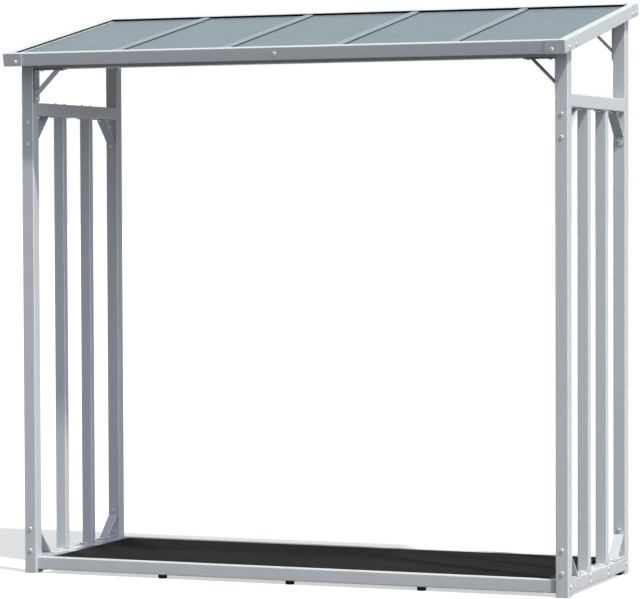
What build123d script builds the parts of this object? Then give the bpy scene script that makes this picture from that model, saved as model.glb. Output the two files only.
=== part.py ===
"""Free-standing firewood rack of square metal tube with a pitched panel roof.

Millimetres, +X to the right, +Y to the back, +Z up. The origin is on the ground under the middle of the
rack's box. The rack is symmetric about the YZ plane, so the right half is modelled and mirrored.
"""

import os
from math import cos, radians, sin, tan
from typing import NamedTuple

from build123d import *

os.makedirs("parts", exist_ok=True)

# Driving dimensions of the post frame
frame_width = 1810.0
frame_depth = 650.0
post_side = 40.0
tube_wall = 1.5
tube_radius = 3.0
rail_height = 40.0
cross_rail_depth = 30.0
end_plate = 3.0
upper_rail_drop = 151.0

# Driving dimensions of the slats, the floor and the feet
slats_per_side = 2
slat_width = 36.0
slat_depth = 26.0
slat_plate_length = 90.0
slat_plate_width = 30.0
slat_plate_thick = 3.0
slat_plate_corner = 6.0
slat_bolt_offset = 31.0
floor_bar_screw_pitch = 19.0
floor_sheet = 2.0
floor_lip = 18.0
floor_side_gap = 1.0
floor_end_gap = 40.0
feet_per_rail = 3
foot_diameter = 28.0
foot_sides = 12
foot_height = 12.0
foot_post_gap = 2.0

# Driving dimensions of the corner brackets
bracket_leg = 104.0
bracket_width = 36.0
bracket_corner = 10.0
bracket_thick = 2.5
bracket_bend = 3.5
near_hole_reach = 21.0
far_hole_inset = 14.0
strut_reach = 78.0
strut_width = 31.0
strut_thick = 2.5

# Driving dimensions of the roof
roof_slope = 11.3
eave_height = 1650.0
front_overhang = 90.0
rear_overhang = 35.0
roof_rail_height = 40.0
roof_box_width = 20.0
roof_flange = 25.0
roof_sheet = 1.5
front_tab = 65.0
front_tab_thick = 3.0
rear_tab = 50.0
panel_count = 5
panel_thick = 4.0
panel_drop = 10.0
panel_gap = 4.0
panel_edge_gap = 1.0
seal_width = 8.0
trim_height = 3.5
joint_cap_width = 30.0
joint_cap_bevel = 3.0
joint_cap_drop = 3.0
gasket_height = 3.0
gasket_width = 5.0
gasket_inset = 1.0
joint_web = 3.0
joint_flange = 3.0
joint_end_gap = 0.5
post_top_gap = 2.0
beam_gap = 8.0

# Driving dimensions of the fasteners, which have six-sided heads and square necks
head_diameter = 11.5
head_sides = 6
head_height = 3.5
neck_side = 6.0
neck_gap = 0.15
screw_tip = 3.0
nut_height = 5.0
bolt_tip = 4.0
front_tab_screw = 43.0
overhang_screw = 43.5
rear_tab_screw = 32.0

# Roof directions: up the slope, and square to the roof
slope_cos = cos(radians(roof_slope))
slope_sin = sin(radians(roof_slope))
slope_tan = tan(radians(roof_slope))
roof_run = front_overhang + frame_depth + rear_overhang
roof_length = roof_run / slope_cos

# Places of the frame
half_width = frame_width / 2
roof_front = -(roof_run + roof_rail_height * slope_sin) / 2
post_front = roof_front + front_overhang
post_rear = post_front + frame_depth
inner_front = post_front + post_side
inner_rear = post_rear - post_side
inner_width = frame_width - 2 * post_side
inner_depth = frame_depth - 2 * post_side
side_x = half_width - post_side / 2
front_cross_y = inner_front - cross_rail_depth / 2
rear_cross_y = inner_rear + cross_rail_depth / 2
lower_rail_top = foot_height + rail_height
lower_rail_mid = foot_height + rail_height / 2
upper_rail_top = eave_height - upper_rail_drop
upper_rail_bottom = upper_rail_top - rail_height
slat_places = [inner_front + inner_depth * k / (slats_per_side + 1) for k in range(1, slats_per_side + 1)]
floor_bar_top = lower_rail_top - floor_sheet
floor_bar_mid = floor_bar_top - slat_width / 2
far_hole_reach = bracket_leg - far_hole_inset
neck_hole = neck_side + 2 * neck_gap

# Places of the roof: depths are measured square to the roof, from the top of its flanges
ledge_depth = panel_drop + panel_thick
box_mid_depth = (ledge_depth + roof_rail_height) / 2
rail_outer_x = half_width + roof_box_width
front_face = front_tab_thick
flange_front = front_face + roof_flange
flange_rear = roof_length - roof_flange
roof_pitch = 2 * (rail_outer_x + roof_sheet) / panel_count
joint_places = [(k - panel_count / 2) * roof_pitch for k in range(1, panel_count)]
panel_side = rail_outer_x - roof_sheet - panel_edge_gap
panel_front = front_face + roof_sheet + panel_edge_gap
panel_rear = roof_length - roof_sheet - panel_edge_gap
seal_bottom = panel_drop - trim_height
cap_bottom = panel_drop - gasket_height


def roof_height(y, depth):
    """Height of the point at y that lies this deep in the roof."""
    return eave_height + (y - roof_front) * slope_tan - depth / slope_cos


def roof_point(x, along, depth):
    """Point in space from its place along the slope and its depth below the roof's top."""
    y = roof_front + along * slope_cos + depth * slope_sin
    return Vector(x, y, eave_height + along * slope_sin - depth * slope_cos)


def along_at(y, depth):
    """Place along the slope of the point at y that lies this deep in the roof."""
    return (y - roof_front - depth * slope_sin) / slope_cos


up_slope = Vector(0, slope_cos, slope_sin)
roof_normal = Vector(0, -slope_sin, slope_cos)
beam_depth = ledge_depth + joint_flange
front_beam_top = roof_height(inner_front - cross_rail_depth, beam_depth) - beam_gap
rear_beam_top = roof_height(inner_rear, beam_depth) - beam_gap


class Fastener(NamedTuple):
    """A seat whose z axis points out of the head, and the length of the neck below it."""

    seat: Plane
    grip: float


class Corner(NamedTuple):
    """Where a bracket sits: its inner corner, the way along the rail and the way along the post."""

    point: Vector
    along: Vector
    away: Vector


def leg_seats(point, along, away):
    """Seats of the two fasteners on the bracket leg that runs along, on its open face."""
    return [
        Plane(point + along * reach + away * bracket_thick, x_dir=along, z_dir=away)
        for reach in (near_hole_reach, far_hole_reach)
    ]


def by_grip(fasteners):
    """Yield each neck length among these fasteners, with the places of those that have it."""
    for grip in sorted({f.grip for f in fasteners}):
        yield grip, [f.seat.location for f in fasteners if f.grip == grip]


def drill(fasteners):
    """Cut the necks of these fasteners, with their clearance, from the part being built."""
    for grip, places in by_grip(fasteners):
        with Locations(*places):
            Box(neck_hole, neck_hole, 2 * (grip + neck_gap), mode=Mode.SUBTRACT)


def tube(plane, width, height, length, fasteners=(), closed=False):
    """Straight tube from a plane, with end plates where it is closed, drilled for its fasteners."""
    plate = end_plate if closed else 0.0
    with BuildPart() as bar:
        with BuildSketch(plane):
            RectangleRounded(width, height, tube_radius)
        extrude(amount=length)
        with BuildSketch(plane.offset(plate)):
            Rectangle(width - 2 * tube_wall, height - 2 * tube_wall)
        extrude(amount=length - 2 * plate, mode=Mode.SUBTRACT)
        drill(fasteners)
    return bar.part


def mirrored(part):
    """The same part on the left side of the rack."""
    with BuildPart() as left:
        add(part)
        mirror(about=Plane.YZ, mode=Mode.REPLACE)
    return left.part


def save(part, name):
    """Label a finished part and write it."""
    part.label = name
    export_step(part, f"parts/{name}.step")


def save_pair(part, name):
    """Write a right-hand part and its mirror image on the left; name has a {} for the side."""
    save(part, name.format("right"))
    save(mirrored(part), name.format("left"))


# Corner brackets on the right half: two under the roof, four in the side panel
right, left, back, front = Vector(1, 0, 0), Vector(-1, 0, 0), Vector(0, 1, 0), Vector(0, -1, 0)
up, down = Vector(0, 0, 1), Vector(0, 0, -1)
inner_x = half_width - post_side
roof_corners = {
    "front": Corner(Vector(inner_x, front_cross_y, front_beam_top - rail_height), left, down),
    "rear": Corner(Vector(inner_x, rear_cross_y, rear_beam_top - rail_height), left, down),
}
side_corners = {
    ("front", "upper"): Corner(Vector(side_x, inner_front, upper_rail_bottom), back, down),
    ("front", "lower"): Corner(Vector(side_x, inner_front, lower_rail_top), back, up),
    ("rear", "upper"): Corner(Vector(side_x, inner_rear, upper_rail_bottom), front, down),
    ("rear", "lower"): Corner(Vector(side_x, inner_rear, lower_rail_top), front, up),
}

# Fasteners on the right half, from which the heads, the necks and every hole are made
screw_grip = bracket_thick + tube_wall + screw_tip
beam_screws = {
    end: [Fastener(seat, screw_grip) for seat in leg_seats(*corner)] for end, corner in roof_corners.items()
}
post_leg_screws = {
    end: [Fastener(seat, screw_grip) for seat in leg_seats(corner.point, corner.away, corner.along)]
    for end, corner in roof_corners.items()
}
side_leg_screws = {
    place: [Fastener(seat, screw_grip) for seat in leg_seats(*corner)] for place, corner in side_corners.items()
}
post_bolt_grip = post_side + bracket_thick + nut_height + bolt_tip


def post_bolts(end, level):
    """Bolts through a post into the upright leg of a side bracket, with heads on the post's outer face."""
    corner = side_corners[end, level]
    outer_face = corner.point - corner.along * post_side
    return [
        Fastener(Plane(outer_face + corner.away * reach, x_dir=up, z_dir=-corner.along), post_bolt_grip)
        for reach in (near_hole_reach, far_hole_reach)
    ]


bolts = {place: post_bolts(*place) for place in side_corners}
cross_rail_screws = {
    end: Fastener(Plane(Vector(half_width, y, lower_rail_mid), x_dir=back, z_dir=right),
                  post_side + end_plate + screw_tip)
    for end, y in (("front", front_cross_y), ("rear", rear_cross_y))
}
slat_bolt_grip = slat_plate_thick + rail_height + bolt_tip


def slat_bolts(level):
    """Bolts of every slat plate at this level, with heads on the plate and tips beyond the rail."""
    face, away = {
        "upper": (upper_rail_bottom - slat_plate_thick, down),
        "lower": (lower_rail_top + slat_plate_thick, up),
    }[level]
    return [
        Fastener(Plane(Vector(side_x, y + offset, face), x_dir=right, z_dir=away), slat_bolt_grip)
        for y in slat_places
        for offset in (-slat_bolt_offset, slat_bolt_offset)
    ]


floor_bar_screws = [
    Fastener(Plane(Vector(half_width, y, floor_bar_mid + offset), x_dir=back, z_dir=right),
             post_side + end_plate + screw_tip)
    for y in slat_places
    for offset in (-floor_bar_screw_pitch / 2, floor_bar_screw_pitch / 2)
]


def roof_side_screw(along, stand_off, grip):
    """Screw in the side of the roof at mid height of the box, on a face this far off the rail."""
    seat = Plane(roof_point(rail_outer_x + stand_off, along, box_mid_depth), x_dir=up_slope, z_dir=right)
    return Fastener(seat, grip)


def roof_front_screw(x, depth, face, grip):
    """Screw in the front of the roof, seated on a face this far behind the foremost one."""
    return Fastener(Plane(roof_point(x, face, depth), x_dir=right, z_dir=-up_slope), grip)


post_rail_screws = {
    end: roof_side_screw(along_at(y, box_mid_depth), 0.0, roof_box_width + tube_wall + screw_tip)
    for end, y in (("front", post_front + post_side / 2), ("rear", post_rear - post_side / 2))
}
overhang_rail_screw = roof_side_screw(overhang_screw, 0.0, roof_sheet + screw_tip)
rear_tab_grip = 2 * roof_sheet + screw_tip
rear_tab_fastener = roof_side_screw(roof_length - rear_tab_screw, roof_sheet, rear_tab_grip)
front_tab_grip = front_tab_thick + roof_sheet + screw_tip
front_tab_fastener = roof_front_screw(rail_outer_x - front_tab_screw, box_mid_depth, 0.0, front_tab_grip)
middle_fastener = roof_front_screw(0.0, roof_rail_height / 2, front_face, roof_sheet + screw_tip)

# Corner posts, flat cut just under the roof panels
for end, y in (("front", post_front + post_side / 2), ("rear", post_rear - post_side / 2)):
    height = roof_height(y - post_side / 2, ledge_depth + post_top_gap)
    holes = [cross_rail_screws[end], post_rail_screws[end], *post_leg_screws[end]]
    holes += bolts[end, "upper"] + bolts[end, "lower"]
    post = tube(Plane(Vector(side_x, y, 0)), post_side, post_side, height, holes)
    save_pair(post, end + "_{}_post")

# Side rails between the posts
for level, middle in (("upper", upper_rail_top - rail_height / 2), ("lower", lower_rail_mid)):
    holes = slat_bolts(level) + side_leg_screws["front", level] + side_leg_screws["rear", level]
    if level == "lower":
        holes += floor_bar_screws
    start = Plane(Vector(side_x, inner_front, middle), x_dir=right, z_dir=back)
    save_pair(tube(start, post_side, rail_height, inner_depth, holes), "{}_" + level + "_rail")


def both_sides(fasteners):
    """These fasteners of the right half, and the same ones on the left."""
    mirrored_seats = [
        Plane(
            Vector(-seat.origin.X, seat.origin.Y, seat.origin.Z),
            x_dir=Vector(-seat.x_dir.X, seat.x_dir.Y, seat.x_dir.Z),
            z_dir=Vector(-seat.z_dir.X, seat.z_dir.Y, seat.z_dir.Z),
        )
        for seat, _ in fasteners
    ]
    return [*fasteners, *(Fastener(seat, f.grip) for seat, f in zip(mirrored_seats, fasteners))]


def cross_tube(y, z, depth, height, fasteners, closed):
    """Tube that runs from the left side to the right side between the posts."""
    start = Plane(Vector(-inner_width / 2, y, z), x_dir=back, z_dir=right)
    return tube(start, depth, height, inner_width, both_sides(fasteners), closed)


# Lower rails and top beams between the posts, and the floor bars between the lower side rails
for end, y, beam_top in (("front", front_cross_y, front_beam_top), ("rear", rear_cross_y, rear_beam_top)):
    rail = cross_tube(y, lower_rail_mid, cross_rail_depth, rail_height, [cross_rail_screws[end]], closed=True)
    save(rail, end + "_lower_rail")
    beam_mid = beam_top - rail_height / 2
    beam = cross_tube(y, beam_mid, cross_rail_depth, rail_height, beam_screws[end], closed=False)
    save(beam, end + "_top_beam")
for number, y in enumerate(slat_places, start=1):
    screws = [f for f in floor_bar_screws if abs(f.seat.origin.Y - y) < slat_depth / 2]
    save(cross_tube(y, floor_bar_mid, slat_depth, slat_width, screws, closed=True), f"floor_bar_{number}")

# Upright slats, each with a plate welded to either end
slat_length = upper_rail_bottom - lower_rail_top
for number, y in enumerate(slat_places, start=1):
    with BuildPart() as slat:
        with BuildSketch(Plane.XY.offset(lower_rail_top)) as plate_outline:
            with Locations((side_x, y)):
                Rectangle(slat_plate_width, slat_plate_length)
            chamfer(plate_outline.vertices(), slat_plate_corner)
        extrude(amount=slat_plate_thick)
        with BuildSketch(Plane.XY.offset(upper_rail_bottom - slat_plate_thick)):
            add(plate_outline.sketch_local)
        extrude(amount=slat_plate_thick)
        with BuildSketch(Plane.XY.offset(lower_rail_top + slat_plate_thick)):
            with Locations((side_x, y)):
                RectangleRounded(slat_width, slat_depth, tube_radius)
                Rectangle(slat_width - 2 * tube_wall, slat_depth - 2 * tube_wall, mode=Mode.SUBTRACT)
        extrude(amount=slat_length - 2 * slat_plate_thick)
        drill(slat_bolts("upper") + slat_bolts("lower"))
    save_pair(slat.part, "{}_slat_" + str(number))

# Floor panel: a sheet with its front and rear edges turned down, lying on the floor bars
floor_front = inner_front + floor_side_gap
floor_rear = inner_rear - floor_side_gap
floor_length = inner_width - 2 * floor_end_gap
with BuildPart() as floor_panel:
    with BuildSketch(Plane(Vector(-floor_length / 2, 0, 0), x_dir=back, z_dir=right)):
        with BuildLine():
            Polyline(
                (floor_front, lower_rail_top - floor_lip),
                (floor_front, lower_rail_top),
                (floor_rear, lower_rail_top),
                (floor_rear, lower_rail_top - floor_lip),
                (floor_rear - floor_sheet, lower_rail_top - floor_lip),
                (floor_rear - floor_sheet, floor_bar_top),
                (floor_front + floor_sheet, floor_bar_top),
                (floor_front + floor_sheet, lower_rail_top - floor_lip),
                close=True,
            )
        make_face()
    extrude(amount=floor_length)
save(floor_panel.part, "floor_panel")


def bracket(corner, fasteners):
    """Bent strip with round-cornered legs and a diagonal strut between them, drilled for its fasteners."""
    point, along, away = corner
    profile = Plane(point, x_dir=along, z_dir=along.cross(away))
    strut_half = strut_thick / 2**0.5
    with BuildPart() as strip:
        for leg, rise in ((along, away), (away, along)):
            with BuildSketch(Plane(point, x_dir=leg, z_dir=rise)) as outline:
                with Locations((bracket_leg / 2, 0)):
                    Rectangle(bracket_leg, bracket_width)
                fillet(outline.vertices().sort_by(Axis.X)[-2:], bracket_corner)
            extrude(amount=bracket_thick)
        bend = strip.edges().filter_by(Axis(point, profile.z_dir)).sort_by_distance(point)[0]
        fillet(bend, bracket_bend)
        with BuildSketch(profile):
            Polygon(
                (strut_reach - strut_half, bracket_thick),
                (strut_reach + strut_half, bracket_thick),
                (bracket_thick, strut_reach + strut_half),
                (bracket_thick, strut_reach - strut_half),
                align=None,
            )
        extrude(amount=strut_width / 2, both=True)
        drill(fasteners)
    return strip.part


# Brackets of each side, gathered under the roof and in the side panel
with BuildPart() as roof_brackets:
    for end, corner in roof_corners.items():
        add(bracket(corner, beam_screws[end] + post_leg_screws[end]))
save_pair(roof_brackets.part, "{}_roof_brackets")
with BuildPart() as side_brackets:
    for place, corner in side_corners.items():
        add(bracket(corner, side_leg_screws[place] + bolts[place]))
save_pair(side_brackets.part, "{}_side_brackets")


def rail_section(plane):
    """Section of a roof rail: a box, a web above it and a flange over the panels.

    The plane's x axis runs inward from the outer face and its y axis runs down from the roof's top.
    """
    with BuildSketch(plane) as section:
        with BuildLine():
            Polyline(
                (0, 0),
                (roof_flange, 0),
                (roof_flange, roof_sheet),
                (roof_sheet, roof_sheet),
                (roof_sheet, ledge_depth),
                (roof_box_width, ledge_depth),
                (roof_box_width, roof_rail_height),
                (0, roof_rail_height),
                close=True,
            )
        make_face()
        with Locations((roof_box_width / 2, box_mid_depth)):
            Rectangle(
                roof_box_width - 2 * roof_sheet,
                roof_rail_height - ledge_depth - 2 * roof_sheet,
                mode=Mode.SUBTRACT,
            )
    return section.sketch


def sheet_piece(low, high):
    """Flat piece of sheet in the roof, between two corners given as x, place along the slope and depth."""
    centre = [(a + b) / 2 for a, b in zip(low, high)]
    size = [abs(b - a) for a, b in zip(low, high)]
    with Locations(Plane(roof_point(*centre), x_dir=right, z_dir=roof_normal).location):
        Box(*size)


# Side roof rail, whose front end is folded round into a doubled tab on the front rail
side_rail_start = Plane(roof_point(rail_outer_x, roof_length - roof_sheet, 0), x_dir=left, z_dir=-up_slope)
with BuildPart() as roof_side_rail:
    extrude(rail_section(side_rail_start), amount=roof_length - roof_sheet - front_face)
    sheet_piece((rail_outer_x - front_tab, 0, 0), (rail_outer_x, front_face, roof_rail_height))
    drill([*post_rail_screws.values(), overhang_rail_screw, rear_tab_fastener, front_tab_fastener])
save_pair(roof_side_rail.part, "roof_{}_rail")

# Front roof rail between the flanges of the side rails, behind their tabs
rail_inner_x = rail_outer_x - roof_flange
with BuildPart() as roof_front_rail:
    front_start = Plane(roof_point(rail_inner_x, front_face, 0), x_dir=up_slope, z_dir=left)
    extrude(rail_section(front_start), amount=2 * rail_inner_x)
    drill([*both_sides([front_tab_fastener]), middle_fastener])
save(roof_front_rail.part, "roof_front_rail")

# Rear roof rail, whose web runs on to the corners and folds round into tabs on the side rails
with BuildPart() as roof_rear_rail:
    rear_start = Plane(roof_point(-rail_inner_x, roof_length, 0), x_dir=-up_slope, z_dir=right)
    extrude(rail_section(rear_start), amount=2 * rail_inner_x)
    web_front = roof_length - roof_sheet
    for side in (-1, 1):
        tab_face = side * (rail_outer_x + roof_sheet)
        sheet_piece((side * rail_inner_x, web_front, 0), (tab_face, roof_length, roof_rail_height))
        sheet_piece((side * rail_outer_x, roof_length - rear_tab, 0), (tab_face, roof_length, roof_rail_height))
    drill(both_sides([rear_tab_fastener]))
save(roof_rear_rail.part, "roof_rear_rail")

# Roof panels, with a gap between neighbours for the webs of the joint bars
panel_edges = [-panel_side, *joint_places, panel_side]
for number, (start, stop) in enumerate(zip(panel_edges, panel_edges[1:]), start=1):
    low_x = start if number == 1 else start + panel_gap / 2
    high_x = stop if number == panel_count else stop - panel_gap / 2
    with BuildPart() as panel:
        sheet_piece((low_x, panel_front, panel_drop), (high_x, panel_rear, ledge_depth))
    save(panel.part, f"roof_panel_{number}")

# Joint bars of H section: a bevelled cap, a web between two panels and a flange below them
half_cap = joint_cap_width / 2
half_web = joint_web / 2
for number, x in enumerate(joint_places, start=1):
    cap_start = Plane(roof_point(x, flange_front, 0), x_dir=right, z_dir=up_slope)
    with BuildPart() as joint_bar:
        with BuildSketch(cap_start):
            with BuildLine():
                Polyline(
                    (-half_cap, cap_bottom),
                    (-half_cap + joint_cap_bevel, joint_cap_drop),
                    (half_cap - joint_cap_bevel, joint_cap_drop),
                    (half_cap, cap_bottom),
                    close=True,
                )
            make_face()
        extrude(amount=flange_rear - flange_front)
        sheet_piece((x - half_web, flange_front, cap_bottom), (x + half_web, flange_rear, panel_drop))
        sheet_piece((x - half_web, panel_front, panel_drop), (x + half_web, panel_rear, ledge_depth))
        sheet_piece(
            (x - half_cap, front_face + roof_box_width + joint_end_gap, ledge_depth),
            (x + half_cap, roof_length - roof_box_width - joint_end_gap, ledge_depth + joint_flange),
        )
    save(joint_bar.part, f"roof_joint_bar_{number}")

# Gaskets between the caps of the joint bars and the panels on either side
gasket_outer = half_cap - gasket_inset
gasket_inner = gasket_outer - gasket_width
with BuildPart() as gaskets:
    for x in joint_places:
        for side in (-1, 1):
            sheet_piece(
                (x + side * gasket_inner, flange_front, cap_bottom),
                (x + side * gasket_outer, flange_rear, panel_drop),
            )
save(gaskets.part, "roof_joint_gaskets")

# Trim strips on the edges of the panels, and seal strips between them and the flanges
seal_outer_x = rail_inner_x + seal_width
for kind, top, bottom in (("seal", roof_sheet, seal_bottom), ("trim", seal_bottom, panel_drop)):
    for end, low, high in (
        ("front", flange_front - seal_width, flange_front),
        ("rear", flange_rear, flange_rear + seal_width),
    ):
        with BuildPart() as end_strip:
            sheet_piece((-seal_outer_x, low, top), (seal_outer_x, high, bottom))
        save(end_strip.part, f"roof_{end}_{kind}")
    with BuildPart() as side_strip:
        sheet_piece((rail_inner_x, flange_front, top), (seal_outer_x, flange_rear, bottom))
    save_pair(side_strip.part, "roof_{}_" + kind)


def feet(places):
    """Faceted feet that carry a rail, one at each place on the ground."""
    with BuildPart() as group:
        with BuildSketch(Plane.XY):
            with Locations(*places):
                RegularPolygon(foot_diameter / 2, foot_sides)
        extrude(amount=foot_height)
    return group.part


rail_feet_x = [-inner_width / 2 + inner_width * k / (feet_per_rail + 1) for k in range(1, feet_per_rail + 1)]
for end, y in (("front", front_cross_y), ("rear", rear_cross_y)):
    save(feet([(x, y) for x in rail_feet_x]), f"{end}_feet")
foot_inset = foot_post_gap + foot_diameter / 2
save_pair(feet([(side_x, inner_front + foot_inset), (side_x, inner_rear - foot_inset)]), "{}_feet")


def fastener_group(fasteners):
    """Group of fasteners with six-sided heads on their seats and square necks below."""
    with BuildPart() as group:
        for grip, places in by_grip(fasteners):
            with Locations(*places):
                Box(neck_side, neck_side, grip, align=(Align.CENTER, Align.CENTER, Align.MAX))
        with BuildSketch(*[f.seat for f in fasteners]):
            RegularPolygon(head_diameter / 2, head_sides)
        extrude(amount=head_height)
    return group.part


def nut_group(fasteners, clamped):
    """Group of six-sided nuts on the necks of these fasteners, below the thickness that they clamp."""
    with BuildPart() as group:
        with BuildSketch(*[f.seat.offset(-clamped) for f in fasteners]):
            RegularPolygon(head_diameter / 2, head_sides)
            Rectangle(neck_hole, neck_hole, mode=Mode.SUBTRACT)
        extrude(amount=-nut_height)
    return group.part


# Fasteners, grouped by what they hold
all_post_bolts = both_sides([f for group in bolts.values() for f in group])
save(fastener_group(all_post_bolts), "post_bolts")
save(nut_group(all_post_bolts, post_side + bracket_thick), "post_nuts")
bracket_groups = [*beam_screws.values(), *post_leg_screws.values(), *side_leg_screws.values()]
save(fastener_group(both_sides([f for group in bracket_groups for f in group])), "bracket_screws")
save(fastener_group(both_sides(slat_bolts("upper") + slat_bolts("lower"))), "slat_bolts")
save(fastener_group(both_sides(floor_bar_screws)), "floor_bar_screws")
save(fastener_group(both_sides(list(cross_rail_screws.values()))), "lower_rail_screws")
side_roof_screws = [*post_rail_screws.values(), overhang_rail_screw, rear_tab_fastener, front_tab_fastener]
save(fastener_group([*both_sides(side_roof_screws), middle_fastener]), "roof_screws")
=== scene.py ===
"""Looks of a firewood rack: a square tube frame, strutted corner brackets and a pitched panel roof.

The classes hold sizes in millimetres, and every mesh is in metres. +X is to the right, +Y to the back and
+Z up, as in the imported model.
"""

import logging
import math
from dataclasses import dataclass
from enum import Enum
from typing import Callable, Iterator, Sequence

import bmesh
import bpy
import numpy as np
from mathutils import Matrix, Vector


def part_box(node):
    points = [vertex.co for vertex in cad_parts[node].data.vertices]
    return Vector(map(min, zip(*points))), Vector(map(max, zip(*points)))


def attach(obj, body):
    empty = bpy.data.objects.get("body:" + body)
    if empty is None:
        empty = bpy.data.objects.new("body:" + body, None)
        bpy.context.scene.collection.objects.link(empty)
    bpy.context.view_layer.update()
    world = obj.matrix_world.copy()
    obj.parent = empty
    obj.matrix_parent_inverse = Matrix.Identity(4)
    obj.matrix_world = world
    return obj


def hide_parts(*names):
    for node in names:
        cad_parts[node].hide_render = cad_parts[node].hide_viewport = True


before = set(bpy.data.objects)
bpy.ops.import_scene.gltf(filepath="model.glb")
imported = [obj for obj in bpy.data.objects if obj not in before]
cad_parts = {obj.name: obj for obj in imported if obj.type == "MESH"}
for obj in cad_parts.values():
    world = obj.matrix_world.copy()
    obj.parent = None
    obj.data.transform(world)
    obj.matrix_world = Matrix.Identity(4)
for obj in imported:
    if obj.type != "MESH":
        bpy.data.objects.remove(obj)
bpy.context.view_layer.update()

MM = 0.001
WHITE = (1.0, 1.0, 1.0)
Array = np.ndarray
Triple = tuple[float, float, float]
Outline = Sequence[tuple[float, float]]
Place = Callable[[Array], Array]
log = logging.getLogger("firewood_rack")


class Side(Enum):
    """The two sides of the rack, with the sign of their X."""

    LEFT = -1
    RIGHT = 1


class End(Enum):
    """The front and the rear of the rack, with the sign of the way out."""

    FRONT = -1
    REAR = 1


class Ends(Enum):
    """How the first and last row of a grid are finished."""

    POINT = "each is drawn to its middle"
    JOINED = "the last joins the first"
    OPEN = "they are left for other faces"


class PaintedShade(Enum):
    """Where a strip gets painted shade."""

    # NOWHERE has no painted shade; RIMS and BACK paint shade on those faces.
    NOWHERE = "it is clean"
    RIMS = "along its long edges, beside the tube that it lies on"
    BACK = "on the face to the left of its way"


# Shader expressions


def operators(operation: str) -> tuple[Callable, Callable]:
    """The plain and the reflected method for one operation of the Math node.

    Args:
        operation: the operation's name.

    Returns:
        The method with the signal first, and the one with a number first.
    """

    def plain(self: "Signal", other: "Signal | float") -> "Signal":
        """The signal first."""
        return self.graph.node("ShaderNodeMath", {"operation": operation}, {0: self, 1: other})

    def reflected(self: "Signal", other: float) -> "Signal":
        """A number first."""
        return self.graph.node("ShaderNodeMath", {"operation": operation}, {0: other, 1: self})

    return plain, reflected


@dataclass
class Signal:
    """A shader socket on which arithmetic adds Math nodes; | gives the greater of two values."""

    graph: "ShaderGraph"
    socket: bpy.types.NodeSocket | None

    __add__, __radd__ = operators("ADD")
    __sub__, __rsub__ = operators("SUBTRACT")
    __mul__, __rmul__ = operators("MULTIPLY")
    __or__, __ror__ = operators("MAXIMUM")


class ShaderGraph:
    """A node tree that is filled through one method, with short names for the nodes used most."""

    def __init__(self, tree: bpy.types.NodeTree) -> None:
        """Start from an empty tree."""
        self.tree = tree
        self.tree.nodes.clear()

    def node(
        self, kind: str, settings: dict | None = None, inputs: dict | None = None, output: str | int = 0
    ) -> Signal:
        """Add any node.

        Args:
            kind: the node's type.
            settings: the node's own settings, which are set first.
            inputs: a value, a colour of three parts or a signal for each named or numbered input.
            output: the output to give back.

        Returns:
            The chosen output, with no socket where the node closes the tree.
        """
        made = self.tree.nodes.new(kind)
        for key, value in (settings or {}).items():
            setattr(made, key, value)
        for key, value in (inputs or {}).items():
            socket = made.inputs[key]
            if isinstance(value, Signal):
                self.tree.links.new(value.socket, socket)
            else:
                socket.default_value = (*value, 1.0) if socket.type == "RGBA" else value
        return Signal(self, made.outputs[output] if made.outputs else None)

    def place(self) -> Signal:
        """Position on the piece, in metres."""
        return self.node("ShaderNodeTexCoord", output="Object")

    def height(self) -> Signal:
        """Height above the ground, in metres."""
        return self.node("ShaderNodeSeparateXYZ", inputs={0: self.place()}, output="Z")

    def edge(self) -> Signal:
        """How near a point is to an edge that gets rubbed, from 0 to 1; below 0 where shade is painted."""
        return self.node("ShaderNodeAttribute", {"attribute_name": "edge"}, output="Fac")

    def noise(self, scale: float, detail: float = 2.0, stretch: Triple = (1.0, 1.0, 1.0)) -> Signal:
        """Noise about 0.5.

        Args:
            scale: grains per metre.
            detail: octaves.
            stretch: scale factors along X, Y and Z.

        Returns:
            The noise's value.
        """
        vector = self.node("ShaderNodeMapping", inputs={"Vector": self.place(), "Scale": stretch})
        return self.node("ShaderNodeTexNoise", inputs={"Vector": vector, "Scale": scale, "Detail": detail})

    def mask(self, value: Signal, low: float, high: float) -> Signal:
        """Smooth step from 0 at low to 1 at high."""
        ends = {"Value": value, "From Min": low, "From Max": high}
        return self.node("ShaderNodeMapRange", {"interpolation_type": "SMOOTHSTEP"}, ends)

    def mix(self, factor: Signal | float, first: object, second: object, blend: str = "MIX") -> Signal:
        """Mix two colours."""
        settings = {"data_type": "RGBA", "blend_type": blend}
        return self.node("ShaderNodeMix", settings, {0: factor, 6: first, 7: second}, 2)

    def toned(self, colour: Triple, tone: Signal) -> Signal:
        """A colour times a tone."""
        return self.mix(1.0, colour, tone, "MULTIPLY")

    def bump(self, height: Signal, strength: float, depth: float) -> Signal:
        """Normal of a height field of this depth in millimetres."""
        inputs = {"Strength": strength, "Distance": depth * MM, "Height": height}
        return self.node("ShaderNodeBump", inputs=inputs)

    def surface(self, **inputs: object) -> None:
        """Close the tree with a principled surface.

        Args:
            inputs: values, colours or signals of its inputs, whose names have _ for a space.
        """
        named = {key.replace("_", " "): value for key, value in inputs.items()}
        shader = self.node("ShaderNodeBsdfPrincipled", inputs=named)
        self.node("ShaderNodeOutputMaterial", inputs={"Surface": shader})


# Finishes: noise scales are in grains per metre


@dataclass(frozen=True)
class Finish:
    """A finish, and the name of the slot that it belongs to."""

    name: str
    slot: str
    colour: Triple

    def material(self) -> bpy.types.Material:
        """The finish's material, made once.

        Returns:
            The material, with its nodes.
        """
        found = bpy.data.materials.get(self.name)
        if found is None:
            found = bpy.data.materials.new(self.name)
            found.use_nodes = True
            self.paint(ShaderGraph(found.node_tree))
        return found

    def paint(self, graph: ShaderGraph) -> None:
        """Fill the material's nodes."""
        raise NotImplementedError


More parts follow.
